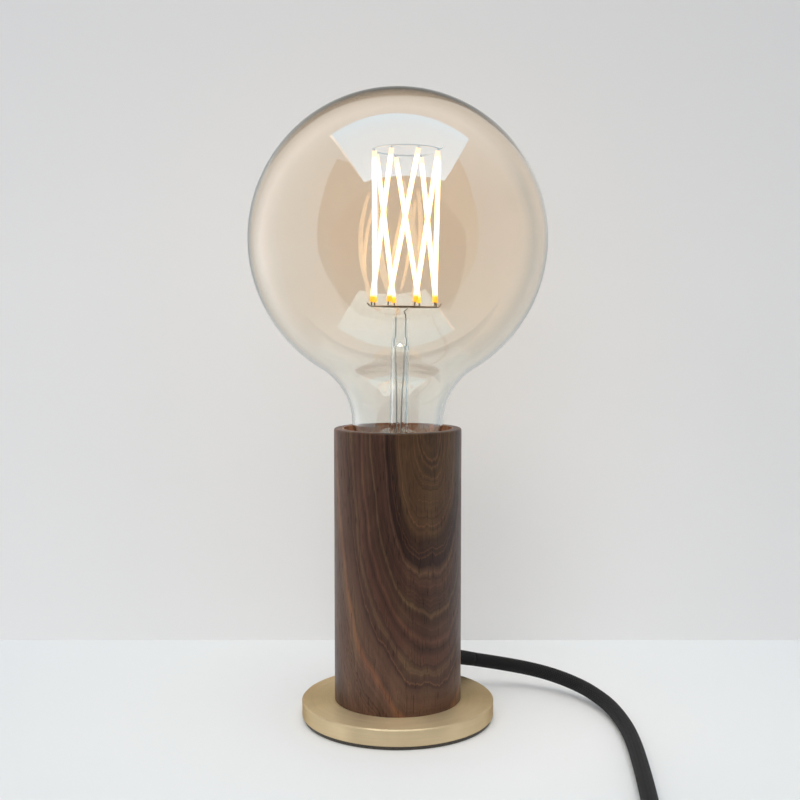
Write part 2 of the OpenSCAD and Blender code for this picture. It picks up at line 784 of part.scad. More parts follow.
// Leans and shifts the children with the cage
module on_cage() {
  on_stem() translate([cage_shift, 0, 0]) children();
}

// Glass stem: a flare in the neck, a tube and a flat press that holds the two lead wires
module bulb_stem() {
  flare = stem_foot_r - stem_r;
  flare_z = stem_foot_z + stem_flare_h;
  color([0.92, 0.92, 0.90, 0.4]) on_stem() difference() {
    union() {
      rotate_extrude($fn = small * 2) polygon(concat(
        [for (i = [0 : 8]) let (a = i * 90 / 8)
          [stem_r + flare * (1 - sin(a)), flare_z - stem_flare_h * cos(a)]],
        [[stem_r, press_z - 5], [press_r, press_z], [0, press_z], [0, press_z - 2],
         [stem_r - stem_t - 0.6, press_z - 3.5], [stem_r - stem_t, press_z - 6]],
        [for (i = [8 : -1 : 0]) let (a = i * 90 / 8)
          [stem_r - stem_t + flare * (1 - sin(a)), flare_z - stem_flare_h * cos(a)]]
      ));
      intersection() {
        translate([0, 0, press_z - 0.5]) cylinder(h = press_l + 0.5, r = press_r, $fn = small);
        translate([-stem_r, -press_t / 2, press_z - cut]) cube([2 * stem_r, press_t, press_l + 2 * cut]);
      }
    }
    for (s = [-1, 1]) translate([s * lead_x, 0, press_z - 4])
      cylinder(h = press_l + 4 + cut, r = lead_r + slip, $fn = small);
  }
}

// Wires from the driver through the press to the two foot rings
module lead_wires() {
  end_r = cage_r - 0.8;
  color([0.55, 0.50, 0.44]) on_stem() for (i = [0, 1]) {
    s = i == 0 ? 1 : -1;
    tip = [cage_shift + end_r * cos(lead_turns[i]), end_r * sin(lead_turns[i]), foot_ring_z - 0.3];
    plain_tube([
      [s * 4, 0, board_z + board_h + slip], [s * 3.2, 0, stem_foot_z + 2], [s * 0.9, 0, stem_foot_z + 12],
      [s * 1.2, 0, stem_foot_z + 26], [s * 1.8, 0, press_z - 10], [s * lead_x, 0, press_z - 4],
      [s * lead_x, 0, stem_top], [s * lead_x, s * -0.6, stem_top + 1.2],
      [s * lead_x * 0.7, s * -4, stem_top + 2.6], tip
    ], lead_r, 6);
  }
}

// Two half rings at the cage's foot, their tails crossing at the sides
module foot_rings() {
  color([0.62, 0.60, 0.56]) on_cage() for (side = [0, 180]) rotate([0, 0, side]) plain_tube(concat(
    [for (i = [0 : 14]) let (a = 6 + i * 12) [cage_r * cos(a), cage_r * sin(a), foot_ring_z]],
    [[-cage_r - 0.4, 0.6, foot_ring_z + 0.4], [-cage_r - 1.2, -1.2, foot_ring_z + 1.4]]
  ), lead_r, 6);
}

// One open ring at the cage's crown, its end bent up at the right
module crown_ring() {
  color([0.62, 0.60, 0.56]) on_cage() plain_tube(concat(
    [for (i = [0 : 27]) let (a = 18 + i * 12) [cage_r * cos(a), cage_r * sin(a), crown_ring_z]],
    [[cage_r + 0.4, -1.6, crown_ring_z + 1], [cage_r + 0.9, 0, crown_ring_z + 2.5]]
  ), lead_r, 6);
}

// Point on the line of stick k, at a height above the cage's foot ring
function stick_point(k, h) =
  let (
    top = cage_top_turn + k * 360 / stick_count,
    foot = top - cage_twist,
    s = h / (crown_ring_z - foot_ring_z)
  )
  [
    cage_r * ((1 - s) * cos(foot) + s * cos(top)),
    cage_r * ((1 - s) * sin(foot) + s * sin(top)),
    foot_ring_z + h
  ];

module light_sticks() {
  cage_h = crown_ring_z - foot_ring_z;
  color([1.0, 0.82, 0.45]) on_cage() for (k = [0 : stick_count - 1])
    rod(stick_point(k, stick_foot_gap), stick_point(k, cage_h - stick_crown_gap), stick_d / 2);
}

// Metal ends that weld each stick to the rings
module stick_tabs() {
  cage_h = crown_ring_z - foot_ring_z;
  ring_gap = lead_r + slip;
  color([0.62, 0.60, 0.56]) on_cage() for (k = [0 : stick_count - 1]) {
    rod(stick_point(k, ring_gap), stick_point(k, stick_foot_gap), lead_r);
    rod(stick_point(k, cage_h - stick_crown_gap), stick_point(k, cage_h - ring_gap), lead_r);
  }
}

/* ---- cord ---- */

module cord_from_lamp() {
  color([0.05, 0.05, 0.052]) plain_tube(lamp_points, cord_r, cord_sides);
}

module cord_to_coil() {
  color([0.05, 0.05, 0.052]) plain_tube(switch_points, cord_r, cord_sides);
}

module cord_to_plug() {
  color([0.05, 0.05, 0.052]) plain_tube(plug_points, cord_r, cord_sides);
}

// Middle line of the coil after t loops: it winds in, climbs where it turns back, and winds out
function coil_point(t) =
  let (
    middle = coil_loops / 2,
    r = coil_outer_r - loop_pitch * (middle - abs(t - middle)),
    a = coil_turn - 360 * t,
    s = min(max((t - middle) / climb_loops + 0.5, 0), 1),
    z = cord_r + loop_pitch * s * s * (3 - 2 * s)
  )
  [coil_at[0] + r * cos(a), coil_at[1] + r * sin(a), z];

coil_line = [for (i = [0 : coil_loops * coil_rings]) coil_point(i / coil_rings)];
coil_path = concat(
  [coil_line[0] + [cord_d, 0, 0]], coil_line, [coil_line[len(coil_line) - 1] - [cord_d, 0, 0]]
);

module cord_coil() {
  color([0.05, 0.05, 0.052]) plain_tube(coil_path, cord_r, coil_sides);
}

function path_length(p, i = 0) = i > len(p) - 2 ? 0 : norm(p[i + 1] - p[i]) + path_length(p, i + 1);

half_loop = coil_rings / 2;
coil_least = min([
  for (i = [0 : len(coil_line) - 1 - half_loop]) for (j = [i + half_loop : len(coil_line) - 1])
    norm(coil_line[i] - coil_line[j])
]);
echo(least_gap_in_coil = coil_least - cord_d);
echo(coil_length = path_length(coil_path), from_lamp = path_length(lamp_points),
  to_coil = path_length(switch_points), to_plug = path_length(plug_points));

/* ---- switch ---- */

module at_switch() {
  translate([switch_at[0], switch_at[1], 0]) children();
}

module at_rocker() {
  translate([0, 0, rocker_z]) rotate([-rocker_tilt, 0, 0]) children();
}

// Holes at both ends for the cord, on the seam between the shells
module cord_mouths() {
  translate([0, -switch_l, switch_base_h]) rotate([-90, 0, 0])
    cylinder(h = 2 * switch_l, r = cord_r + slip, $fn = small);
}

// Lower shell: two rails for the contacts, two ears for the rocker's pin and two cord saddles
module switch_base() {
  inner_l = switch_l - 2 * switch_wall;
  inner_w = switch_w - 2 * switch_wall;
  ear_top = rocker_z + rocker_pin_d / 2 + 0.4;
  color([0.06, 0.06, 0.06]) at_switch() difference() {
    union() {
      difference() {
        round_slab(switch_l, switch_w, switch_base_h, switch_corner_r);
        translate([0, 0, switch_wall])
          round_slab(inner_l, inner_w, switch_base_h, switch_corner_r - switch_wall);
      }
      for (s = [-1, 1]) {
        translate([s * rail_x - rail_w / 2, -rail_end, switch_wall / 2])
          cube([rail_w, 2 * rail_end, rail_top - switch_wall / 2]);
        translate([s > 0 ? ear_x : -ear_x - ear_t, -ear_half, switch_wall / 2])
          cube([ear_t, 2 * ear_half, ear_top - switch_wall / 2]);
        translate([-saddle_w / 2, s * saddle_y - saddle_t / 2, switch_wall / 2])
          cube([saddle_w, saddle_t, switch_base_h - slip - switch_wall / 2]);
        translate([s * boss_at[0], s * boss_at[1], switch_wall / 2])
          cylinder(h = switch_base_h - switch_wall / 2, r = boss_r, $fn = small);
      }
    }
    cord_mouths();
    translate([-switch_w, 0, rocker_z]) rotate([0, 90, 0])
      cylinder(h = 2 * switch_w, d = rocker_pin_d + 2 * press, $fn = small);
    for (s = [-1, 1]) translate([s * boss_at[0], s * boss_at[1], -cut]) {
      cylinder(h = switch_base_h + 2 * cut, d = switch_screw_d + 2 * slip, $fn = small);
      cylinder(h = cut + switch_screw_head_h + slip, d = switch_screw_head_d + 2 * slip, $fn = small);
    }
  }
}

// Upper shell, bevelled round its top, with the rocker's opening and two bosses for the screws
module switch_cover() {
  inner_l = switch_l - 2 * switch_wall;
  inner_w = switch_w - 2 * switch_wall;
  open_w = rocker_w + 2 * rocker_gap;
  open_l = rocker_l + 2 * rocker_gap;
  color([0.06, 0.06, 0.06]) at_switch() difference() {
    union() {
      difference() {
        translate([0, 0, switch_base_h]) intersection() {
          round_slab(switch_l, switch_w, switch_cover_h + cut, switch_corner_r);
          bevel_bar(switch_l + cut, switch_w, switch_cover_h, switch_bevel);
          rotate([0, 0, 90]) bevel_bar(switch_w + cut, switch_l, switch_cover_h, switch_bevel);
        }
        translate([0, 0, switch_base_h - switch_wall])
          round_slab(inner_l, inner_w, switch_cover_h, switch_corner_r - switch_wall);
      }
      for (s = [-1, 1]) translate([s * boss_at[0], s * boss_at[1], switch_base_h])
        cylinder(h = switch_cover_h - switch_wall / 2, r = boss_r, $fn = small);
    }
    cord_mouths();
    translate([-open_w / 2, -open_l / 2, switch_top - 2 * switch_wall]) cube([open_w, open_l, 3 * switch_wall]);
    for (s = [-1, 1]) translate([s * boss_at[0], s * boss_at[1], switch_base_h - cut])
      cylinder(h = switch_screw_l + cut, d = switch_screw_d + 2 * press, $fn = small);
  }
}

// Rocker: its ends are part of a drum about the pin, so the gap to the cover stays the same
module switch_rocker() {
  r = rocker_l / 2;
  color([0.12, 0.12, 0.12]) at_switch() at_rocker() difference() {
    intersection() {
      translate([-rocker_w / 2, 0, 0]) rotate([0, 90, 0]) cylinder(h = rocker_w, r = r, $fn = fine);
      translate([-rocker_w / 2, 0, 0]) rotate([90, 0, 90]) linear_extrude(height = rocker_w) polygon([
        [-r - cut, -rocker_below], [r + cut, -rocker_below], [r + cut, rocker_crown],
        [0, rocker_crown - rocker_dish], [-r - cut, rocker_crown]
      ]);
    }
    translate([-rocker_w, 0, 0]) rotate([0, 90, 0])
      cylinder(h = 2 * rocker_w, d = rocker_pin_d + 2 * running, $fn = small);
  }
}

module switch_pin() {
  l = 2 * (ear_x + ear_t);
  color([0.7, 0.7, 0.7]) at_switch() translate([-l / 2, 0, rocker_z]) rotate([0, 90, 0])
    cylinder(h = l, d = rocker_pin_d, $fn = small);
}

// Two strips on the rails, each with a stud under the bridge
module switch_contacts() {
  color([0.80, 0.70, 0.42]) at_switch() for (s = [-1, 1]) union() {
    translate([s * rail_x - strip_w / 2, s > 0 ? stud_y - 3 : -rail_end, rail_top])
      cube([strip_w, rail_end + (s > 0 ? 3 - stud_y : stud_y + 3), strip_t]);
    translate([s * rail_x, stud_y, rail_top]) cylinder(h = stud_top - rail_top, r = stud_r, $fn = small);
  }
}

// Bar under the rocker that joins the two studs while the switch is on
module switch_bridge() {
  color([0.80, 0.70, 0.42]) at_switch() at_rocker()
    translate([-bridge_l / 2, stud_y - bridge_w / 2, -rocker_below - bridge_t])
      cube([bridge_l, bridge_w, bridge_t]);
}

// One wire runs through between the rails, the other is cut and ends on the strips
module switch_wires() {
  z = switch_base_h;
  y = switch_l / 2 - cord_grip;
  top = rail_top + strip_t + 1.05;
  color([0.16, 0.35, 0.62]) at_switch() plain_tube([
    [-1.3, y, z], [-1.3, y - 1, z], [-0.8, y - 2.8, z - 1.6], [0, y - 5.5, z - 4],
    [0, 5.5 - y, z - 4], [0.8, 2.8 - y, z - 1.6], [1.3, 1 - y, z], [1.3, -y, z]
  ], 1, 8);
  color([0.42, 0.25, 0.14]) at_switch() for (s = [-1, 1]) plain_tube([
    [s * 1.3, s * y, z + 0.3], [s * 1.3, s * (y - 1), z + 0.3], [s * 2.8, s * (y - 3), top],
    [s * rail_x, s * (y - 5), top], [s * rail_x, s * (y - 8), top]
  ], 1, 8);
}

// Bars that press the cord on the saddles
module switch_clamps() {
  z = switch_base_h + slip * 2;
  color([0.85, 0.85, 0.82]) at_switch() difference() {
    for (s = [-1, 1]) translate([-saddle_w / 2, s * saddle_y - saddle_t / 2, z])
      cube([saddle_w, saddle_t, saddle_top - z]);
    cord_mouths();
  }
}

module switch_screws() {
  color([0.7, 0.7, 0.7]) at_switch() for (s = [-1, 1])
    translate([s * boss_at[0], s * boss_at[1], switch_screw_head_h + slip]) rotate([180, 0, 0])
      slot_screw(switch_screw_d, switch_screw_l, switch_screw_head_d, switch_screw_head_h);
}

/* ---- plug ---- */

// Puts children at the middle of the plug's face, with +Y along the pins
module at_plug() {
  translate([plug_x, plug_face_y, plug_z]) children();
}

// Puts children at each pin, with +Z along the pins
module at_pins() {
  at_plug() for (s = [-1, 1]) translate([s * pin_spacing / 2, 0, 0]) rotate([-90, 0, 0]) children();
}

module plug_body() {
  w = plug_w / 2;
  l = plug_l;
  back_w = tail_root_r + 1;
  waist_w = w - 5;
  color([0.05, 0.05, 0.05]) difference() {
    intersection() {
      at_plug() rotate([90, 0, 0]) linear_extrude(height = l) union() {
        square([plug_w - 2 * plug_round, plug_t], center = true);
        square([plug_w, plug_t - 2 * plug_round], center = true);
        for (sx = [-1, 1]) for (sy = [-1, 1])
          translate([sx * (w - plug_round), sy * (plug_t / 2 - plug_round)]) circle(r = plug_round, $fn = small);
      }
      at_plug() translate([0, 0, -plug_t]) linear_extrude(height = 2 * plug_t) polygon([
        [-w, 0], [-w, -l * 0.3], [-waist_w, -l * 0.55], [-waist_w + 2, -l * 0.75], [-back_w, -l],
        [back_w, -l], [waist_w - 2, -l * 0.75], [waist_w, -l * 0.55], [w, -l * 0.3], [w, 0]
      ]);
    }
    at_pins() translate([0, 0, -pin_root_l]) cylinder(h = pin_root_l + cut, r = pin_neck_r + press, $fn = small);
  }
}

// Tapered tail with grooves, moulded behind the plug's body
module plug_tail() {
  ribs = 5;
  step = tail_l / ribs;
  color([0.05, 0.05, 0.05]) at_plug() translate([0, -plug_l, 0]) rotate([90, 0, 0])
    rotate_extrude($fn = small) polygon(concat(
      [[0, 0]],
      [for (i = [0 : ribs - 1]) let (
          a = tail_root_r + (tail_tip_r - tail_root_r) * i / ribs,
          b = tail_root_r + (tail_tip_r - tail_root_r) * (i + 0.7) / ribs
        )
        each [[a, i * step], [b, (i + 0.7) * step], [b - 0.6, (i + 0.75) * step], [b - 0.6, (i + 0.95) * step]]],
      [[tail_tip_r, tail_l], [0, tail_l]]
    ));
}

// Pins: a rounded bare tip, a neck under the sleeve and a root in the body
module plug_pins() {
  tip = pin_l - pin_r;
  color([0.80, 0.78, 0.72]) at_pins() rotate_extrude($fn = small) polygon(concat(
    [[0, -pin_root_l], [pin_neck_r, -pin_root_l], [pin_neck_r, sleeve_l], [pin_r, sleeve_l]],
    arc(0, tip, pin_r, 0, 80, 6),
    [[0, pin_l]]
  ));
}

module pin_sleeves() {
  color([0.07, 0.07, 0.07]) at_pins() washer(pin_neck_r + press + sleeve_t, pin_neck_r + press, sleeve_l);
}

base_pad();
base_disc();
base_screws();
column();
support_tube();
tube_nuts();
tube_washer();
clamp_block();
clamp_bridge();
clamp_screws();
cord_sleeve();
inner_cord();
inner_wires();
holder_body();
holder_block();
terminal_screws();
holder_contact();
holder_shell();
holder_skirt();
bulb_button();
bulb_insulator();
bulb_cap();
driver_board();
driver_parts();
bulb_glass();
bulb_stem();
lead_wires();
foot_rings();
crown_ring();
light_sticks();
stick_tabs();
cord_from_lamp();
switch_base();
switch_cover();
switch_rocker();
switch_pin();
switch_contacts();
switch_bridge();
switch_wires();
switch_clamps();
switch_screws();
cord_to_coil();
cord_coil();
cord_to_plug();
plug_body();
plug_tail();
plug_pins();
pin_sleeves();
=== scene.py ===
import math
import bpy
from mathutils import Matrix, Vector


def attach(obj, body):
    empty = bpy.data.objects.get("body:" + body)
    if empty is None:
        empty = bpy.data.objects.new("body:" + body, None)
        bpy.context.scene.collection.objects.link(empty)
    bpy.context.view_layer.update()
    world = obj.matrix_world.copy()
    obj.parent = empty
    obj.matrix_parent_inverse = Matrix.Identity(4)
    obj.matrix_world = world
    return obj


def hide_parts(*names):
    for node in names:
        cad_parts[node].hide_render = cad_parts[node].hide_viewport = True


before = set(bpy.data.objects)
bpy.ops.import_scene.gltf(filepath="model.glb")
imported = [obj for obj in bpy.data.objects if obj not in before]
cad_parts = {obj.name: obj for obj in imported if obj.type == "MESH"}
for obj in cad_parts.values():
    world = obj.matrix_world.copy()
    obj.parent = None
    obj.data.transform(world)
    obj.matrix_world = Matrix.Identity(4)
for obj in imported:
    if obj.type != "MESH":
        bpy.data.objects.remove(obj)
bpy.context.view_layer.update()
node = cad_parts


# ---- room and camera ----
# A pale table against a light grey wall, under one wide soft lamp, with a weak one in front. The camera
# looks a little down from half a metre away. Glass and metal also mirror what stands round the table:
# screens at both sides, the dark room in front, and a dark arch high up on the wall.

table_width = 8.0
wall_y = 0.117
wall_height = 1.8
bpy.ops.object.select_all(action="DESELECT")
bpy.ops.mesh.primitive_plane_add(size=table_width, location=(0, 0, 0))
table_top = bpy.context.object
table_top.name = "table_top"
bpy.ops.mesh.primitive_plane_add(size=1, location=(0, wall_y, wall_height / 2), rotation=(math.pi / 2, 0, 0))
room_wall = bpy.context.object
room_wall.name = "room_wall"
room_wall.scale = (table_width, wall_height, 1)


def put(tree, kind, feeds=None, **settings):
    """Adds a shader node. Feeds go to its sockets: plain values, or the outputs of other nodes."""
    made = tree.nodes.new("ShaderNode" + kind)
    for name, value in settings.items():
        setattr(made, name, value)
    for name, value in (feeds or {}).items():
        socket = made.inputs[name]
        if isinstance(value, bpy.types.NodeSocket):
            tree.links.new(value, socket)
        else:
            socket.default_value = value
    return made


def math_node(tree, operation, *values):
    """One sum on values or on the outputs of other nodes."""
    return put(tree, "Math", dict(enumerate(values)), operation=operation).outputs[0]


def times(tree, first, *others):
    """The product of two or more values."""
    for other in others:
        first = math_node(tree, "MULTIPLY", first, other)
    return first


def mapped(tree, value, low, high, to_low=0.0, to_high=1.0):
    """Brings a value from one range to another and holds it at both ends."""
    return put(tree, "MapRange", {
        "Value": value, "From Min": low, "From Max": high, "To Min": to_low, "To Max": to_high}).outputs[0]


def distance(tree, place, point):
    """How far a place is from a fixed point, in metres."""
    return put(tree, "VectorMath", {0: place, 1: point}, operation="DISTANCE").outputs["Value"]


def ramp(tree, share, *stops):
    """A colour ramp with its stops given as (place, colour)."""
    made = put(tree, "ValToRGB", {0: share})
    marks = made.color_ramp.elements
    for i, (place, colour) in enumerate(stops):
        mark = marks[i] if i < 2 else marks.new(place)
        mark.position = place
        mark.color = (*colour, 1)
    return made.outputs[0]


def finish(name, **plain):
    """A new material and its shader, with plain values on the shader's own sockets."""
    material = bpy.data.materials.new(name)
    material.use_nodes = True
    shader = material.node_tree.nodes["Principled BSDF"]
    for socket, value in plain.items():
        shader.inputs[socket.replace("_", " ")].default_value = value
    return material, material.node_tree, shader


def feed(tree, shader, **sockets):
    """Joins node outputs to the shader's sockets."""
    for socket, output in sockets.items():
        tree.links.new(output, shader.inputs[socket.replace("_", " ")])


def object_place(tree):
    """The point on the piece, in metres."""
    return put(tree, "TexCoord").outputs["Object"]


def sharply_mirrored(tree):
    """One for light that came by any mirror image, and one for light that came by a clear image alone,
    as in the bulb's glass. Both are nought for all other light."""
    path = put(tree, "LightPath")
    mirrored = math_node(tree, "GREATER_THAN", path.outputs["Glossy Depth"], 0.5)
    return mirrored, times(tree, mirrored, path.outputs["Is Singular Ray"])


def show_mixed(tree, share, first, second):
    """Shows one shader or the other on the piece, by a share."""
    mixed = put(tree, "MixShader", {0: share, 1: first.outputs[0], 2: second.outputs[0]})
    tree.links.new(mixed.outputs[0], tree.nodes["Material Output"].inputs["Surface"])


# The table's colour is painted lightest round the lamp's foot, a painted pool of light, and painted darker
# far out, painted shade. Clear mirror images see past the table and the wall.
pale_table, tree, shader = finish("pale_table", Roughness=0.62)
painted_light_spot = (0.02, 0, 0)
feed(tree, shader, Base_Color=ramp(
    tree, mapped(tree, distance(tree, object_place(tree), painted_light_spot), 0.04, 0.84),
    (0.0, (0.895, 0.912, 0.920)), (0.09, (0.812, 0.845, 0.864)), (0.36, (0.700, 0.737, 0.760)),
    (1.0, (0.40, 0.42, 0.43))))
show_mixed(tree, sharply_mirrored(tree)[1], shader, put(tree, "BsdfTransparent"))
table_top.data.materials.append(pale_table)


def blend_colours(tree, share, first, second, kind="MIX"):
    """Mixes two colours by a share."""
    first, second = (
        colour if isinstance(colour, bpy.types.NodeSocket) else (*colour, 1) for colour in (first, second))
    return put(tree, "Mix", {0: share, 6: first, 7: second}, data_type="RGBA", blend_type=kind).outputs[2]


def grey_of(tree, level):
    """The grey with the same value in red, green and blue."""
    return put(tree, "CombineColor", {0: level, 1: level, 2: level}).outputs[0]


# The wall's colour is painted lighter below, at the left and in a patch low behind the lamp, and painted
# darker at its far ends: painted light and painted shade. It is seen from its front only, so that it hides
# nothing from behind.
grey_wall, tree, shader = finish("grey_wall", Roughness=0.8)
wall_face = put(tree, "NewGeometry")
wall_place = wall_face.outputs["Position"]
spot = put(tree, "SeparateXYZ", {0: wall_place})
painted_shade_by_height = ramp(
    tree, mapped(tree, spot.outputs["Z"], 0.0, 0.42),
    (0.0, (0.775, 0.775, 0.780)), (0.45, (0.748, 0.749, 0.758)), (1.0, (0.612, 0.614, 0.624)))
painted_light_left = mapped(tree, spot.outputs["X"], -0.2, 0.2, 1.02, 0.97)
painted_shade_at_ends = mapped(tree, math_node(tree, "ABSOLUTE", spot.outputs["X"]), 0.23, 0.7, 1.0, 0.45)
painted_light_patch = mapped(tree, distance(tree, wall_place, (0.03, wall_y, 0.06)), 0.03, 0.17, 1.08, 1.0)
painted_wall_light = times(tree, painted_light_left, painted_shade_at_ends, painted_light_patch)
feed(tree, shader, Base_Color=blend_colours(tree, 1.0, painted_shade_by_height, grey_of(tree, painted_wall_light), "MULTIPLY"))
show_mixed(tree, math_node(tree, "MAXIMUM", wall_face.outputs["Backfacing"], sharply_mirrored(tree)[1]),
           shader, put(tree, "BsdfTransparent"))
room_wall.data.materials.append(grey_wall)


def sloped(tree, value, slope, start):
    """A value times a slope, added to a start."""
    return math_node(tree, "MULTIPLY_ADD", value, slope, start)


# Mirrors show brighter screens at the left than at the right. Clear ones show cold white screens, a
# dimmer ground, and the wall's own grey where the wall is.
world = bpy.data.worlds.new("room_light")
bpy.context.scene.world = world
world.use_nodes = True
tree = world.node_tree
path = put(tree, "LightPath")
seen = math_node(tree, "MAXIMUM", path.outputs["Is Glossy Ray"], path.outputs["Is Transmission Ray"])
seen = math_node(tree, "MAXIMUM", seen, path.outputs["Is Camera Ray"])
room_level = 0.55
seen_more = 0.18
room_grey = grey_of(tree, sloped(tree, seen, seen_more, room_level))
mirrored, sharply = sharply_mirrored(tree)
way = put(tree, "SeparateXYZ", {0: put(tree, "TexCoord").outputs["Generated"]})
to_right = times(tree, mapped(tree, way.outputs["X"], -0.5, 0.5),
                 mapped(tree, way.outputs["Z"], 0.35, 0.85, 1.0, 0.2))
to_back = mapped(tree, way.outputs["Y"], -0.2, 0.4)
downwards = mapped(tree, way.outputs["Z"], -0.1, -0.6)
upwards = math_node(tree, "MAXIMUM", way.outputs["Z"], 0.0)
towards_wall = mapped(tree, sloped(tree, upwards, 0.25, way.outputs["Y"]), 0.58, 0.82)
soft_screens = blend_colours(tree, to_right, (0.90, 0.90, 0.90), (0.66, 0.66, 0.66))
cold_left = blend_colours(tree, to_back, (0.85, 1.25, 1.52), (1.35, 1.52, 1.68))
cold_right = blend_colours(tree, to_back, (0.15, 0.45, 0.80), (0.08, 0.34, 0.55))
ground = blend_colours(tree, to_right, (0.66, 0.76, 0.80), (0.32, 0.44, 0.50))
cold_screens = blend_colours(tree, to_right, cold_left, cold_right)
cold_screens = blend_colours(tree, downwards, cold_screens, ground)
cold_screens = blend_colours(tree, towards_wall, cold_screens, (0.60, 0.62, 0.62))
sent = blend_colours(tree, mirrored, room_grey, soft_screens)
sent = blend_colours(tree, sharply, sent, cold_screens)
tree.links.new(sent, tree.nodes["Background"].inputs["Color"])


def mirror_card(name, corners, faces, sharp, fade=None, light=None):
    """A card that only mirrors see, or only clear ones: dark, or with two colours of light from its
    front edge to its back one. It can fade in between two heights."""
    material = bpy.data.materials.new(name)
    material.use_nodes = True
    tree = material.node_tree
    tree.nodes.remove(tree.nodes["Principled BSDF"])
    share = sharply_mirrored(tree)[1 if sharp else 0]
    spot = put(tree, "SeparateXYZ", {0: object_place(tree)})
    if fade:
        share = times(tree, share, mapped(tree, spot.outputs["Z"], *fade))
    sent = put(tree, "Emission", {"Color": (0.045, 0.0475, 0.05, 1)})
    if light:
        front, back = corners[0][1], corners[2][1]
        feed(tree, sent, Color=blend_colours(tree, mapped(tree, spot.outputs["Y"], front, back), *light))
    show_mixed(tree, share, put(tree, "BsdfTransparent"), sent)
    mesh = bpy.data.meshes.new(name)
    mesh.from_pydata(corners, [], faces)
    mesh.materials.append(material)
    card = bpy.data.objects.new(name, mesh)
    bpy.context.collection.objects.link(card)
    card.visible_camera = card.visible_diffuse = card.visible_shadow = False


# The dark room in front: a curved screen, and a flat dark piece on the table before it
room_r = 1.5
room_sides = 24
above_table = 0.0003
screen_levels = ((above_table, 60), (0.9, 60), (2.0, 66))
room_corners = []
for i in range(room_sides + 1):
    for height, half_angle in screen_levels:
        turn = math.radians((2 * i / room_sides - 1) * half_angle)
        room_corners.append((room_r * math.sin(turn), -room_r * math.cos(turn), height))
rows = len(screen_levels)
room_faces = [
    (i * rows + k, (i + 1) * rows + k, (i + 1) * rows + k + 1, i * rows + k + 1)
    for i in range(room_sides) for k in range(rows - 1)]
mirror_card("dark_room", room_corners, room_faces, sharp=False)
ground_corners = [(-0.104, -0.13), (0.104, -0.13), (1.31, -0.74), (0.75, -1.3), (-0.75, -1.3), (-1.31, -0.74)]
mirror_card("dark_ground", [(x, y, above_table) for x, y in ground_corners],
            [tuple(range(len(ground_corners)))], sharp=False)

# A dark arch high up on the wall, fading out downwards. Its corners are in millimetres.
MM = 0.001
arch_y = wall_y - 0.005
arch_fade = (0.260, 0.362)
arch_corners = [
    (-137, 285), (-134, 325), (-120, 360), (-96, 386), (-71, 410), (-37, 428), (0, 436), (35, 416), (58, 380),
    (78, 352), (98, 334), (108, 306), (106, 275)]
mirror_card("dark_arch", [(x * MM, arch_y, z * MM) for x, z in arch_corners],
            [tuple(range(len(arch_corners)))], sharp=True, fade=arch_fade)


def soft_box(name, place, way, size, power):
    """A wide soft lamp that points against a direction."""
    lamp = bpy.data.objects.new(name, bpy.data.lights.new(name, "AREA"))
    bpy.context.collection.objects.link(lamp)
    lamp.data.shape = "RECTANGLE"
    lamp.data.size, lamp.data.size_y = size
    lamp.data.energy = power
    lamp.location = place
    lamp.rotation_euler = Vector(way).to_track_quat("Z", "Y").to_euler()
    lamp.visible_camera = False
    return lamp


# The lamp above has a brighter image of its own in clear mirrors
lamp_z = 0.983
soft_box("lamp_above", place=(0, -0.335, lamp_z), way=(0, 0, 1), size=(1.01, 0.89), power=5.0)
image_corners = [(-0.49, -0.92), (0.66, -0.80), (0.54, 0.11), (-0.48, 0.11)]
mirror_card("lamp_image", [(x, y, lamp_z - MM) for x, y in image_corners],
            [tuple(range(len(image_corners)))], sharp=True, light=((2.7, 4.4, 6.0), (1.3, 2.6, 3.8)))
fill = soft_box("lamp_in_front", place=(-0.5, -2.2, 0.9), way=(-0.2, -0.9, 0.3), size=(2.0, 1.2), power=15.0)
# The bulb's own light on the wall and the table
glow = bpy.data.objects.new("bulb_glow", bpy.data.lights.new("bulb_glow", "POINT"))
bpy.context.collection.objects.link(glow)
glow.location = (0, 0, 0.208)
glow.data.shadow_soft_size = 0.014
glow.data.energy = 0.08
glow.data.color = (1.0, 0.85, 0.55)
glow.visible_camera = False
for hidden in (fill, glow):
    hidden.visible_glossy = hidden.visible_transmission = False

camera_dip = math.radians(3.787)
view_camera = bpy.data.objects.new("view_camera", bpy.data.cameras.new("view_camera"))
bpy.context.collection.objects.link(view_camera)
view_camera.location = (0, -0.4779, 0.1679)
view_camera.rotation_euler = (math.pi / 2 - camera_dip, 0, 0)
view_camera.data.lens = 50.95
view_camera.data.shift_x = 0.00284
bpy.context.scene.camera = view_camera
bpy.context.scene.view_settings.view_transform = "Standard"


# ---- base ----
# A turned disc of satin brass, 82 mm across, with a small chamfer on both edges. A thin dark felt pad
# is glued under it, and three countersunk screws go up through the disc into the column.

def shared_group(name, inputs, outputs):
    """An empty shader node group, its first node and its last. All of its inputs are plain numbers."""
    group = bpy.data.node_groups.new(name, "ShaderNodeTree")
    for label, value in inputs:
        group.interface.new_socket(label, in_out="INPUT", socket_type="NodeSocketFloat").default_value = value
    for label in outputs:
        group.interface.new_socket(label, in_out="OUTPUT", socket_type="NodeSocketFloat")
    return group, group.nodes.new("NodeGroupInput"), group.nodes.new("NodeGroupOutput")


def use_group(tree, group, **values):
    """Puts a shared group in a material, with its own values."""
    made = put(tree, "Group", node_tree=group)
    for label, value in values.items():
        made.inputs[label].default_value = value
    return made


def noise(tree, place, **sockets):
    """A cloudy value between nought and one."""
    return put(tree, "TexNoise", {"Vector": place, **sockets}).outputs["Fac"]


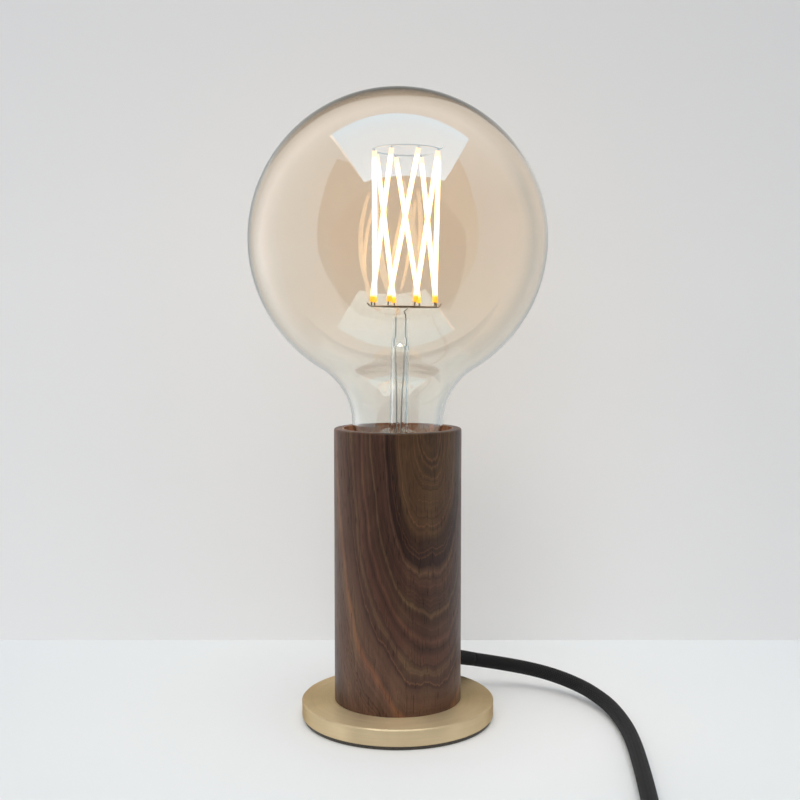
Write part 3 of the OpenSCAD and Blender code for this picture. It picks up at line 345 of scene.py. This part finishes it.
def raise_grain(tree, shader, height, depth, strength=1.0):
    """Gives the surface the relief of a pattern, with its depth in metres."""
    bump = put(tree, "Bump", {"Height": height, "Distance": depth, "Strength": strength})
    feed(tree, shader, Normal=bump.outputs[0])


def dress(material, *names):
    """Gives a finish to CAD pieces."""
    for name in names:
        for slot in node[name].material_slots:
            slot.material = material


# Uneven patches left by hands and cloths
handling, entry, leave = shared_group("handling", [("Scale", 60.0)], ["Smudge"])
patches = noise(
    handling, object_place(handling), Scale=entry.outputs["Scale"], Detail=5, Roughness=0.62, Distortion=0.4)
handling.links.new(mapped(handling, patches, 0.32, 0.72), leave.inputs["Smudge"])

# Fine lines round the lamp's axis, as a lathe tool and a cloth leave them: close ones, and wider ones
# that break off sooner
turning, entry, leave = shared_group("turning", [("Fineness", 2200.0)], ["Height", "Tone"])
spot = put(turning, "SeparateXYZ", {0: object_place(turning)})
radius = math_node(turning, "SQRT", math_node(
    turning, "ADD", *(math_node(turning, "POWER", spot.outputs[side], 2) for side in "XY")))
across = times(turning, math_node(turning, "ADD", radius, spot.outputs["Z"]), entry.outputs["Fineness"])


def lathe_lines(fineness, stretch):
    """Lines round the axis. The more a line is stretched, the sooner it breaks off."""
    place = put(turning, "CombineXYZ", {
        0: times(turning, across, fineness), 1: times(turning, spot.outputs["X"], stretch),
        2: times(turning, spot.outputs["Y"], stretch)})
    return noise(turning, place.outputs[0], Scale=1, Detail=2)


close_lines = lathe_lines(fineness=1.0, stretch=22)
wide_lines = lathe_lines(fineness=0.23, stretch=40)
turning.links.new(close_lines, leave.inputs["Height"])
turning.links.new(sloped(turning, wide_lines, 0.6, times(turning, close_lines, 0.4)), leave.inputs["Tone"])

satin_brass, tree, shader = finish(
    "satin_brass", Metallic=1.0, Anisotropic=0.85, Anisotropic_Rotation=0.25,
    Specular_Tint=(0.40, 0.345, 0.29, 1))
lathe = use_group(tree, turning, Fineness=2400.0)
smudge = use_group(tree, handling, Scale=55.0).outputs["Smudge"]
brass_tone = ramp(tree, lathe.outputs["Tone"], (0.3, (0.760, 0.607, 0.380)), (0.7, (0.850, 0.692, 0.450)))
feed(tree, shader, Base_Color=blend_colours(tree, times(tree, smudge, 0.35), brass_tone, (0.66, 0.52, 0.32)))
feed(tree, shader, Roughness=sloped(tree, smudge, 0.08, sloped(tree, lathe.outputs["Tone"], 0.12, 0.36)))
feed(tree, shader, Tangent=put(tree, "Tangent", direction_type="RADIAL", axis="Z").outputs[0])
raise_grain(tree, shader, lathe.outputs["Height"], depth=0.00002, strength=0.5)
dress(satin_brass, "base_disc")

dark_felt, tree, shader = finish("dark_felt", Roughness=0.95, Sheen_Weight=0.3)
felt_hairs = noise(tree, object_place(tree), Scale=1400, Detail=4, Distortion=1.5)
feed(tree, shader, Base_Color=ramp(
    tree, felt_hairs, (0.3, (0.034, 0.031, 0.026)), (0.7, (0.090, 0.080, 0.068))))
raise_grain(tree, shader, felt_hairs, depth=0.0003)
dress(dark_felt, "base_pad")

zinc_steel, tree, shader = finish("zinc_steel", Metallic=1.0)
lathe = use_group(tree, turning, Fineness=5200.0)
smudge = use_group(tree, handling, Scale=260.0).outputs["Smudge"]
feed(tree, shader, Base_Color=ramp(tree, smudge, (0.1, (0.50, 0.50, 0.49)), (0.9, (0.66, 0.66, 0.65))))
feed(tree, shader, Roughness=sloped(tree, smudge, 0.18, 0.24))
raise_grain(tree, shader, lathe.outputs["Height"], depth=0.00003, strength=0.4)
dress(zinc_steel, "base_screws", "tube_washer", "clamp_screws")


# ---- column ----
# One piece of American walnut, turned to 54 mm across and 116 mm high and finished with satin oil.
# Its mouth hides the lampholder. The growth layers show as nested cups, with an almost upright grain
# at their sides.

walnut, tree, shader = finish("walnut", Specular_IOR_Level=0.32)
place = object_place(tree)
spot = put(tree, "SeparateXYZ", {0: place})
level_place = put(tree, "CombineXYZ", {0: spot.outputs["X"], 1: spot.outputs["Y"]}).outputs[0]
grown = put(tree, "Mapping", {"Vector": place, "Scale": (1, 1, 0.3)}).outputs[0]
cloud = noise(tree, grown, Scale=95, Detail=4, Distortion=0.6)


def along_fibres(width, length, detail):
    """A value that runs in threads up the wood."""
    threads = put(tree, "Mapping", {"Vector": place, "Scale": (1 / width, 1 / width, 1 / length)})
    return noise(tree, threads.outputs[0], Scale=1, Detail=detail)


# Each growth layer is a deep cup, and all have their bottoms on one upright line at the right. A layer
# is named by the height of its bottom. It sways in long bends, in ripples and from fibre to fibre.
cup_line = (0.0135, -0.0234)
cup_top = 0.130
cup_width = 0.326
cup_power = 2.3
outwards = math_node(tree, "DIVIDE", distance(tree, level_place, (*cup_line, 0)), cup_width)
downwards = math_node(tree, "MAXIMUM", math_node(tree, "SUBTRACT", cup_top, spot.outputs["Z"]), 0.0)
reach = math_node(tree, "ADD", *(math_node(tree, "POWER", way, cup_power) for way in (outwards, downwards)))
reach = math_node(tree, "POWER", reach, 1 / cup_power)
layer = math_node(tree, "SUBTRACT", cup_top, reach)
bends = noise(tree, grown, Scale=34, Detail=3.5)
ripples = noise(tree, grown, Scale=190, Detail=3)
fibres = along_fibres(width=0.0011, length=0.03, detail=3)
for sway, most in ((bends, 0.022), (ripples, 0.0040), (fibres, 0.0030)):
    layer = sloped(tree, math_node(tree, "SUBTRACT", sway, 0.5), most, layer)

# The colour of each layer, by its height in millimetres
layer_tones = (
    (-60, (0.070, 0.039, 0.027)), (-45, (0.105, 0.060, 0.040)), (-33, (0.066, 0.037, 0.026)),
    (-20, (0.110, 0.064, 0.044)), (-8, (0.084, 0.048, 0.034)), (4, (0.108, 0.062, 0.043)),
    (7, (0.175, 0.082, 0.045)), (9, (0.092, 0.052, 0.036)), (18, (0.092, 0.051, 0.035)),
    (22.6, (0.046, 0.025, 0.018)), (26, (0.070, 0.038, 0.026)), (28.5, (0.092, 0.055, 0.035)),
    (31, (0.048, 0.025, 0.018)), (34, (0.082, 0.040, 0.028)), (38, (0.046, 0.024, 0.018)),
    (41, (0.082, 0.040, 0.027)), (45, (0.066, 0.036, 0.025)), (50, (0.054, 0.029, 0.020)),
    (52.5, (0.086, 0.054, 0.032)), (55, (0.050, 0.026, 0.019)), (66, (0.058, 0.030, 0.022)),
    (68.6, (0.080, 0.047, 0.034)), (70.5, (0.028, 0.0145, 0.012)), (78, (0.034, 0.018, 0.013)),
    (84, (0.064, 0.036, 0.020)), (104, (0.076, 0.046, 0.024)), (130, (0.058, 0.035, 0.020)))
lowest, highest = layer_tones[0][0], layer_tones[-1][0]
tone = ramp(tree, mapped(tree, layer, lowest * MM, highest * MM), *(
    ((height - lowest) / (highest - lowest), colour) for height, colour in layer_tones))


def along_layers(scale, detail, roughness, shift=0.0):
    """A value that changes only from layer to layer."""
    return put(tree, "TexNoise", {
        "W": math_node(tree, "ADD", layer, shift), "Scale": scale, "Detail": detail, "Roughness": roughness},
        noise_dimensions="1D").outputs["Fac"]


bands = along_layers(scale=330, detail=5, roughness=0.6)
seams = along_layers(scale=620, detail=3, roughness=0.5, shift=0.31)
pores = mapped(tree, along_fibres(width=0.00042, length=0.0065, detail=1), 0.60, 0.70)
tone = blend_colours(tree, mapped(tree, seams, 0.60, 0.74, 0.0, 0.45), tone, (0.160, 0.078, 0.046))
tone = blend_colours(tree, mapped(tree, seams, 0.40, 0.26, 0.0, 0.45), tone, (0.024, 0.013, 0.010))
# The bored mouth is painted much paler: partly its unoiled wood, mostly painted light from the bulb that
# shines into it
mouth_r = 0.0234
mouth_floor = 0.0643
painted_light_mouth = times(tree, math_node(tree, "LESS_THAN", distance(tree, level_place, (0, 0, 0)), mouth_r),
              math_node(tree, "GREATER_THAN", spot.outputs["Z"], mouth_floor))
# The grain's tone, times the painted light in the mouth
shade = times(
    tree, sloped(tree, bands, 0.9, 0.55), sloped(tree, fibres, 0.55, 0.73), sloped(tree, pores, -0.42, 1.0),
    sloped(tree, cloud, 1.1, 0.47), sloped(tree, painted_light_mouth, 2.6, 1.0))
yellowish = mapped(tree, cloud, 0.5, 0.7)
oiled = put(tree, "CombineColor", {
    0: times(tree, shade, 1.10), 1: times(tree, shade, sloped(tree, yellowish, 0.10, 0.95)),
    2: times(tree, shade, 0.84)}).outputs[0]
feed(tree, shader, Base_Color=blend_colours(tree, 1.0, tone, oiled, "MULTIPLY"))
smudge = use_group(tree, handling, Scale=70.0).outputs["Smudge"]
even_rough = sloped(tree, smudge, 0.07, sloped(tree, fibres, 0.1, 0.36))
feed(tree, shader, Roughness=sloped(tree, pores, 0.2, even_rough))
raise_grain(tree, shader, sloped(tree, pores, -1.0, times(tree, fibres, 0.35)), depth=0.00006, strength=0.6)
dress(walnut, "column")


# ---- cord ----
# Round black mains cord in a braided textile sleeve. It leaves the column through a moulded strain
# relief, runs to the switch, is wound in a neat coil of two layers and ends in the plug.

def smooth_way(points, step):
    """A smooth line through chosen points in millimetres, as close points in metres."""
    p = [Vector(q) * MM for q in points]
    p = [p[0] * 2 - p[1]] + p + [p[-1] * 2 - p[-2]]
    line = []
    for a, b, c, d in zip(p, p[1:], p[2:], p[3:]):
        parts = max(1, round((c - b).length / step))
        for i in range(parts):
            t = i / parts
            line.append(0.5 * (2 * b + (c - a) * t + (2 * a - 5 * b + 4 * c - d) * t ** 2
                               + (3 * b - a - 3 * c + d) * t ** 3))
    return line + [p[-2]]


def cord_tube(name, line, radii, sides=24):
    """A closed round tube along a line, with a UV map that runs round it and along it."""
    girth = 2 * math.pi * max(radii)
    side = None
    verts, runs, run = [], [], 0
    for i, p in enumerate(line):
        way = (line[min(i + 1, len(line) - 1)] - line[max(i - 1, 0)]).normalized()
        side = (way.cross(Vector((0, 0, 1))) if side is None else side - way * side.dot(way)).normalized()
        up = way.cross(side)
        run += (p - line[i - 1]).length if i else 0
        runs.append(run / girth)
        for k in range(sides):
            a = 2 * math.pi * k / sides
            verts.append(p + radii[i] * (math.cos(a) * side + math.sin(a) * up))
    faces, spots = [], []
    for i in range(len(line) - 1):
        for k in range(sides):
            m = (k + 1) % sides
            faces.append((i * sides + k, i * sides + m, (i + 1) * sides + m, (i + 1) * sides + k))
            spots += [(k / sides, runs[i]), ((k + 1) / sides, runs[i]),
                      ((k + 1) / sides, runs[i + 1]), (k / sides, runs[i + 1])]
    ends = (tuple(range(sides - 1, -1, -1)), tuple(range((len(line) - 1) * sides, len(line) * sides)))
    for ring, v in zip(ends, (runs[0], runs[-1])):
        faces.append(ring)
        spots += [(j % sides / sides, v) for j in ring]
    mesh = bpy.data.meshes.new(name)
    mesh.from_pydata(verts, [], faces)
    layer = mesh.uv_layers.new(name="along")
    for loop, uv in zip(layer.data, spots):
        loop.uv = uv
    mesh.polygons.foreach_set("use_smooth", [len(f) == 4 for f in faces])
    mesh.update()
    made = bpy.data.objects.new(name, mesh)
    bpy.context.collection.objects.link(made)
    return made


# Over-and-under braid of flat bundles of yarn, on the UV map that runs round and along the tube
yarns = 5
braid, entry, leave = shared_group("braid", [("Bundles", 14.0)], ["Height", "Shade"])
apart = put(braid, "SeparateXYZ", {0: put(braid, "UVMap", uv_map="along").outputs[0]})
around, along = apart.outputs["X"], apart.outputs["Y"]
leans = [
    times(braid, math_node(braid, side, around, along), entry.outputs["Bundles"])
    for side in ("ADD", "SUBTRACT")]
parity = math_node(braid, "FLOORED_MODULO", math_node(
    braid, "ADD", *(math_node(braid, "FLOOR", lean) for lean in leans)), 2)
arch_right, arch_left = (
    math_node(braid, "SINE", times(braid, math_node(braid, "FRACT", lean), math.pi)) for lean in leans)
yarn_right, yarn_left = (math_node(braid, "SINE", times(braid, lean, 2 * math.pi * yarns)) for lean in leans)


def bundle(across, length, yarn):
    """Height over one bundle: round across it, dipping at both ends, with its single yarns."""
    return sloped(braid, yarn, 0.06, times(braid, across, sloped(braid, length, 0.55, 0.45)))


weave = put(braid, "Mix", {
    0: parity, 2: bundle(arch_right, arch_left, yarn_right), 3: bundle(arch_left, arch_right, yarn_left)},
    data_type="FLOAT").outputs[0]
braid.links.new(weave, leave.inputs["Height"])
fuzz = noise(braid, object_place(braid), Scale=900, Detail=2)
# Shade is the weave's height with fuzz: the bundles' tops are painted lighter and their dips darker, a
# painted highlight and painted shade
braid.links.new(sloped(braid, fuzz, 0.35, weave), leave.inputs["Shade"])

black_braid, tree, shader = finish(
    "black_braid", Roughness=0.82, Specular_IOR_Level=0.28, Sheen_Weight=0.05, Sheen_Roughness=0.4,
    Sheen_Tint=(0.6, 0.62, 0.65, 1))
weaving = use_group(tree, braid)
# Painted highlight on the bundles' tops and painted shade in their dips, from the weave's height
feed(tree, shader, Base_Color=ramp(
    tree, weaving.outputs["Shade"], (0.15, (0.003, 0.003, 0.0033)), (0.65, (0.010, 0.0101, 0.0105)),
    (1.0, (0.022, 0.022, 0.023))))
raise_grain(tree, shader, weaving.outputs["Height"], depth=0.00035, strength=0.8)

cord_d = 6.2
sleeve_points = [
    (14.7, 22.6, 17.5), (17.5, 26.6, 17.4), (20.7, 30.1, 16.9), (24.2, 33, 16.2), (27.8, 35.4, 15.2),
    (31.4, 37.2, 14.2), (35, 38.4, 13.3)]
lamp_points = [
    (35, 38.4, 13.3), (38.6, 39.6, 12.4), (45, 40.3, 11.2), (53, 39.7, 10), (60, 38, 9.1), (67, 34.7, 8.3),
    (73.5, 30.3, 7.4), (79, 24.8, 6.6), (84, 18.5, 5.7), (87.5, 11.5, 5), (90.5, 3.5, 4.3),
    (92.5, -5, 3.6), (93.6, -15, 3.1), (93.8, -27, 3.1), (93.2, -41, 3.1), (91.8, -57, 3.1),
    (90, -74, 3.1), (88, -91, 3.1), (86, -106, 3.3), (84.6, -118, 4.6), (84.1, -127.5, 6.5),
    (84, -136, 7.9), (84, -144, 8)]
switch_points = [
    (84, -192, 8), (84, -200, 7.9), (83.9, -207, 6.7), (83.1, -213.5, 5.2), (81, -219.5, 4),
    (77.5, -225, 3.3), (72.5, -229.6, 3.1), (66.5, -233, 3.1), (59, -235, 3.1), (50, -235.5, 3.1),
    (38, -235.5, 3.1), (26.2, -235.5, 3.1)]
plug_points = [
    (13.8, -235.5, 9.85), (8, -235.5, 9.85), (0, -235.6, 8.9), (-8, -235.7, 7), (-16, -235.3, 5.2),
    (-24, -233.6, 3.8), (-31.5, -230.5, 3.2), (-38.2, -226, 3.1), (-43.7, -220.3, 3.6),
    (-47.6, -213.6, 4.7), (-49.6, -206, 6.2), (-50, -201, 6.85), (-50, -198, 6.85)]

# The coil: loops in two layers, given point by point
coil_x, coil_y = 20, -192
coil_r = 43.5
loops = 6
loop_points = 24
spacing = 6.75
climb_loops = 0.5


def coil_point(t):
    """Middle of the cord after t loops: it winds in, climbs a layer where it turns back, and winds out."""
    from_turn = t - loops / 2
    r = coil_r - spacing * (loops / 2 - abs(from_turn))
    a = math.radians(-90 - 360 * t)
    s = min(max(from_turn / climb_loops + 0.5, 0), 1)
    return (coil_x + r * math.cos(a), coil_y + r * math.sin(a), cord_d / 2 + spacing * s * s * (3 - 2 * s))


coil_points = [coil_point(i / loop_points) for i in range(loops * loop_points + 1)]
cord_r = cord_d / 2 * MM
lamp_way_line = smooth_way(lamp_points, step=2.2 * MM)
far_way_line = smooth_way(switch_points + coil_points + plug_points, step=3.2 * MM)
lamp_cord = cord_tube("lamp_cord", lamp_way_line, [cord_r] * len(lamp_way_line))
far_cord = cord_tube("far_cord", far_way_line, [cord_r] * len(far_way_line))

# The strain relief narrows evenly to the cord
relief_way = smooth_way(sleeve_points, step=1.2 * MM)
relief_mouth_r = 4.0
relief_narrows = 0.86
relief_parts = len(relief_way) - 1
relief_radii = [(relief_mouth_r - relief_narrows * i / relief_parts) * MM for i in range(relief_parts + 1)]
relief = cord_tube("cord_relief", relief_way, relief_radii)
for piece in (lamp_cord, far_cord, relief):
    piece.data.materials.append(black_braid)
    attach(piece, "lamp")
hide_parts("cord_from_lamp")
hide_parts("cord_to_coil", "cord_coil", "cord_to_plug")
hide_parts("cord_sleeve")


# ---- fixings in the column ----
# A hollow threaded brass tube with two hexagon nuts carries the lampholder. The cord is held on the
# disc by a small white clamp with two screws, and its two wires run up through the tube.

# The very fine grain of moulded plastic, rubber and pressed ceramic
moulding, entry, leave = shared_group("moulding", [("Scale", 1800.0)], ["Height", "Speck"])
grit = noise(moulding, object_place(moulding), Scale=entry.outputs["Scale"], Detail=3)
flow = noise(moulding, object_place(moulding), Scale=90, Detail=4, Distortion=0.8)
moulding.links.new(grit, leave.inputs["Height"])
moulding.links.new(sloped(moulding, flow, 0.7, times(moulding, grit, 0.3)), leave.inputs["Speck"])


def moulded(name, dark, light, rough, grain=1800.0, depth=0.00004, **plain):
    """A moulded finish: two near colours, a roughness and the size and depth of its grain."""
    material, tree, shader = finish(name, **plain)
    skin = use_group(tree, moulding, Scale=grain)
    smudge = use_group(tree, handling, Scale=120.0).outputs["Smudge"]
    feed(tree, shader, Base_Color=ramp(tree, skin.outputs["Speck"], (0.35, dark), (0.65, light)))
    feed(tree, shader, Roughness=sloped(tree, smudge, 0.12, rough))
    raise_grain(tree, shader, skin.outputs["Height"], depth=depth, strength=0.5)
    return material


def metal(name, dark, light, rough, fineness=5200.0, patches=200.0, depth=0.00002):
    """A turned or pressed metal: two near colours, a roughness, and the spacing of its lines."""
    material, tree, shader = finish(name, Metallic=1.0)
    lathe = use_group(tree, turning, Fineness=fineness)
    smudge = use_group(tree, handling, Scale=patches).outputs["Smudge"]
    feed(tree, shader, Base_Color=ramp(tree, smudge, (0.1, dark), (0.9, light)))
    feed(tree, shader, Roughness=sloped(tree, lathe.outputs["Tone"], 0.16, sloped(tree, smudge, 0.1, rough)))
    raise_grain(tree, shader, lathe.outputs["Height"], depth=depth, strength=0.4)
    return material


yellow_brass = metal("yellow_brass", (0.62, 0.46, 0.20), (0.78, 0.62, 0.32), rough=0.22)
dress(yellow_brass, "support_tube", "tube_nuts", "terminal_screws")
white_nylon = moulded("white_nylon", (0.68, 0.68, 0.65), (0.74, 0.74, 0.71), rough=0.42)
dress(white_nylon, "clamp_block", "clamp_bridge", "switch_clamps")
dress(black_braid, "inner_cord")

# In the column one wire is blue and the other brown, told apart by the side they run on. The short
# wires in the switch are all blue.
brown_way = (-0.84, 0.54)
wire_sheath, tree, shader = finish("wire_sheath", Roughness=0.38)
skin = use_group(tree, moulding, Scale=900.0)
spot = put(tree, "SeparateXYZ", {0: object_place(tree)})
brown_side = math_node(tree, "GREATER_THAN", sloped(
    tree, spot.outputs["X"], brown_way[0], times(tree, spot.outputs["Y"], brown_way[1])), 0.0)
blue = ramp(tree, skin.outputs["Speck"], (0.3, (0.020, 0.090, 0.30)), (0.7, (0.030, 0.115, 0.36)))
brown = ramp(tree, skin.outputs["Speck"], (0.3, (0.120, 0.045, 0.018)), (0.7, (0.155, 0.060, 0.024)))
feed(tree, shader, Base_Color=blend_colours(tree, brown_side, blue, brown))
raise_grain(tree, shader, skin.outputs["Height"], depth=0.00005, strength=0.4)
dress(wire_sheath, "inner_wires", "switch_wires")


# ---- lampholder ----
# A black Bakelite body with a ceramic block, a sprung brass contact and a threaded metal shell that a
# screwed skirt traps. It stands in the column's mouth on the threaded tube.

black_bakelite = moulded(
    "black_bakelite", (0.012, 0.011, 0.010), (0.020, 0.018, 0.016), rough=0.30, grain=2600.0)
dress(black_bakelite, "holder_body", "holder_skirt")
glazed_ceramic = moulded(
    "glazed_ceramic", (0.74, 0.72, 0.66), (0.82, 0.80, 0.75), rough=0.22, grain=1200.0, Coat_Weight=0.4)
dress(glazed_ceramic, "holder_block")
spring_brass = metal("spring_brass", (0.66, 0.50, 0.24), (0.80, 0.66, 0.38), rough=0.20, fineness=6000.0)
dress(spring_brass, "holder_contact", "switch_contacts", "switch_bridge")
nickel_shell = metal("nickel_shell", (0.62, 0.60, 0.55), (0.78, 0.76, 0.71), rough=0.20, fineness=4200.0)
dress(nickel_shell, "holder_shell", "bulb_cap")


# ---- bulb's cap and driver ----
# The E27 cap is rolled from nickelled brass, with a black glass insulator and a soldered button. A
# small green circuit board with its parts stands inside it.

solder = metal(
    "solder", (0.55, 0.54, 0.52), (0.70, 0.69, 0.67), rough=0.30, fineness=3000.0, patches=500.0,
    depth=0.00008)
dress(solder, "bulb_button")
black_glass = moulded(
    "black_glass", (0.006, 0.006, 0.007), (0.012, 0.012, 0.013), rough=0.12, grain=500.0, depth=0.00002)
dress(black_glass, "bulb_insulator")
board_green, tree, shader = finish("board_green", Roughness=0.34)
upright = put(tree, "Mapping", {"Vector": object_place(tree), "Scale": (1, 0.02, 1)})
tracks = put(tree, "TexVoronoi", {"Vector": upright.outputs[0], "Scale": 520}, distance="MANHATTAN")
feed(tree, shader, Base_Color=ramp(
    tree, tracks.outputs["Distance"], (0.2, (0.020, 0.110, 0.040)), (0.6, (0.030, 0.150, 0.060))))
raise_grain(tree, shader, tracks.outputs["Distance"], depth=0.00004, strength=0.5)
dress(board_green, "driver_board")
black_parts = moulded("black_parts", (0.010, 0.010, 0.011), (0.022, 0.022, 0.023), rough=0.34, grain=2400.0)
dress(black_parts, "driver_parts")


# ---- bulb's glass ----
# A blown globe, 125 mm across, with a wide neck that turns in to the cap's rim. The glass is 1 mm
# thick, tinted a warm amber on the globe and paler at the neck.

def arc(x, z, r, start, end, steps):
    """Points of an arc in the half plane of a turned outline, in millimetres."""
    turns = (math.radians(start + (end - start) * i / steps) for i in range(steps + 1))
    return [(x + r * math.cos(a), z + r * math.sin(a)) for a in turns]


def turned(name, outline, sides=128):
    """A turned skin, drawn out ring by ring from a small circle at the outline's first point. The circle
    is closed to the axis, and the last ring stays open."""
    bpy.ops.object.select_all(action="DESELECT")
    r, z = (v * MM for v in outline[0])
    bpy.ops.mesh.primitive_circle_add(vertices=sides, radius=r, location=(0, 0, z))
    piece = bpy.context.object
    piece.name = name
    bpy.ops.object.transform_apply(location=True)
    bpy.ops.object.mode_set(mode="EDIT")
    bpy.ops.mesh.select_all(action="SELECT")
    bpy.ops.mesh.edge_face_add()
    bpy.ops.mesh.poke()
    bpy.ops.mesh.select_all(action="DESELECT")
    bpy.ops.object.mode_set(mode="OBJECT")
    for v in piece.data.vertices:
        v.select = v.co.to_2d().length > r / 2
    for e in piece.data.edges:
        e.select = all(piece.data.vertices[v].select for v in e.vertices)
    bpy.ops.object.mode_set(mode="EDIT")
    for next_r, next_z in ((a * MM, b * MM) for a, b in outline[1:]):
        bpy.ops.mesh.extrude_region_move(TRANSFORM_OT_translate={"value": (0, 0, next_z - z)})
        bpy.ops.transform.resize(value=(next_r / r, next_r / r, 1), center_override=(0, 0, next_z))
        r, z = next_r, next_z
    bpy.ops.mesh.select_all(action="SELECT")
    bpy.ops.mesh.remove_doubles(threshold=1e-7)
    bpy.ops.mesh.normals_make_consistent(inside=False)
    bpy.ops.object.mode_set(mode="OBJECT")
    bpy.ops.object.shade_smooth()
    return piece


def clear_to_lamps(tree, shader, tint):
    """Lets lamps shine through glass, so that what is behind or inside it is lit."""
    way = put(tree, "BsdfTransparent", {"Color": (*tint, 1)})
    show_mixed(tree, put(tree, "LightPath").outputs["Is Shadow Ray"], shader, way)


globe_r, globe_z = 62.5, 203.187
neck_r = 19.2
shoulder_r, shoulder_z = 27, 126.533
foot_r, foot_z = 9, 126.333
rim_r, rim_z = 11.6, 112.7
glass_t = 1.0
crown_turn = 88.5
crown_r = 0.05
shoulder_x = neck_r + shoulder_r
foot_x = neck_r - foot_r
join = math.degrees(math.atan2(shoulder_z - globe_z, shoulder_x))
foot_turn = -math.degrees(math.acos((rim_r - foot_x) / foot_r))
globe = turned("glass_globe", (
    [(crown_r, globe_z + globe_r)] + arc(0, globe_z, globe_r, crown_turn, join, steps=64)
    + arc(shoulder_x, shoulder_z, shoulder_r, 180 + join, 180, steps=16)
    + arc(foot_x, foot_z, foot_r, 0, foot_turn, steps=12) + [(rim_r, rim_z)]))
wall = globe.modifiers.new("wall", "SOLIDIFY")
wall.thickness = glass_t * MM
wall.offset = -1
wall.use_even_offset = True
bpy.ops.object.modifier_apply(modifier="wall")

amber_glass, tree, shader = finish("amber_glass", Transmission_Weight=1.0, IOR=1.52, Roughness=0.0)
height = put(tree, "SeparateXYZ", {0: object_place(tree)}).outputs["Z"]
feed(tree, shader, Base_Color=ramp(
    tree, mapped(tree, height, 0.125, 0.205),
    (0.0, (0.968, 0.942, 0.900)), (0.25, (0.974, 0.940, 0.890)), (0.6, (0.980, 0.900, 0.806)),
    (1.0, (0.988, 0.878, 0.757))))
# Reflections low on the globe and at the neck are tinted amber: a painted reflection colour
feed(tree, shader, Specular_Tint=ramp(
    tree, mapped(tree, height, 0.130, 0.165), (0.0, (1.0, 0.86, 0.72)), (1.0, (1.0, 1.0, 1.0))))
blown = put(tree, "Mapping", {"Vector": object_place(tree), "Scale": (1, 1, 0.4)})
waves = noise(tree, blown.outputs[0], Scale=28, Detail=1)
raise_grain(tree, shader, waves, depth=0.0006, strength=0.25)
clear_to_lamps(tree, shader, (0.97, 0.95, 0.92))
globe.data.materials.append(amber_glass)
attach(globe, "bulb")
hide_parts("bulb_glass")


# ---- stem and cage ----
# A clear glass stem is melted into the neck and pressed flat round two lead wires. They carry two
# half rings, and eight glowing sticks lean between these and one open ring at the top.

stem_glass, tree, shader = finish("stem_glass", Transmission_Weight=1.0, IOR=1.3, Roughness=0.03)
melt = noise(tree, object_place(tree), Scale=420, Detail=2)
feed(tree, shader, Base_Color=ramp(tree, melt, (0.3, (0.955, 0.95, 0.94)), (0.7, (1.0, 1.0, 1.0))))
raise_grain(tree, shader, melt, depth=0.0003, strength=0.4)
clear_to_lamps(tree, shader, (0.95, 0.95, 0.94))
dress(stem_glass, "bulb_stem")
cage_wire = metal(
    "cage_wire", (0.27, 0.22, 0.16), (0.48, 0.41, 0.32), rough=0.30, fineness=9000.0, patches=600.0)
dress(cage_wire, "foot_rings", "stick_tabs")
crown_wire = metal(
    "crown_wire", (0.62, 0.58, 0.52), (0.80, 0.77, 0.72), rough=0.30, fineness=9000.0, patches=600.0)
dress(crown_wire, "crown_ring", "lead_wires")

# The sticks are white in their middle and yellow at their sides. Their two ends are bare and dim.
stick_foot, stick_top = 0.1774, 0.2397
stick_glow, tree, shader = finish("stick_glow", Roughness=0.45, Emission_Strength=2.6)
up = mapped(tree, put(tree, "SeparateXYZ", {0: object_place(tree)}).outputs["Z"], stick_foot, stick_top)
feed(tree, shader, Base_Color=ramp(tree, up, (0.0, (0.75, 0.42, 0.05)), (1.0, (0.80, 0.55, 0.20))))


def lit_stick(low, middle, high):
    """The light along a stick, with its dim ends."""
    return ramp(
        tree, up, (0.0, (0.30, 0.160, 0.008)), (0.035, (0.36, 0.190, 0.012)), (0.055, low), (0.5, middle),
        (0.93, high), (0.965, (0.30, 0.225, 0.15)))


edge_on = put(tree, "LayerWeight", {"Blend": 0.35}).outputs["Facing"]
feed(tree, shader, Emission_Color=blend_colours(
    tree, edge_on, lit_stick((1.0, 0.90, 0.66), (1.0, 0.93, 0.72), (1.0, 0.86, 0.60)),
    lit_stick((0.9, 0.66, 0.30), (0.9, 0.70, 0.33), (0.9, 0.66, 0.30))))
dress(stick_glow, "light_sticks")


# ---- switch ----
# A rocker switch on the cord: two black shells held by two screws from below, two cord clamps, brass
# contact strips with studs, and a bridge under the rocker that joins the studs.

black_plastic = moulded(
    "black_plastic", (0.011, 0.011, 0.012), (0.019, 0.019, 0.020), rough=0.40, grain=2100.0, depth=0.00006)
dress(black_plastic, "switch_base", "switch_cover", "pin_sleeves")
rocker_plastic = moulded(
    "rocker_plastic", (0.018, 0.018, 0.019), (0.028, 0.028, 0.029), rough=0.28, grain=1500.0, depth=0.00002)
dress(rocker_plastic, "switch_rocker")
dress(zinc_steel, "switch_pin", "switch_screws")


# ---- plug ----
# A flat two pin plug moulded in black rubber with a ribbed tail, and nickelled pins whose roots are
# sleeved in plastic.

plug_rubber = moulded(
    "plug_rubber", (0.012, 0.012, 0.012), (0.021, 0.021, 0.021), rough=0.52, grain=1300.0, depth=0.00007)
dress(plug_rubber, "plug_body", "plug_tail")
nickel_pins = metal("nickel_pins", (0.66, 0.65, 0.61), (0.80, 0.79, 0.75), rough=0.18, fineness=3000.0)
dress(nickel_pins, "plug_pins")
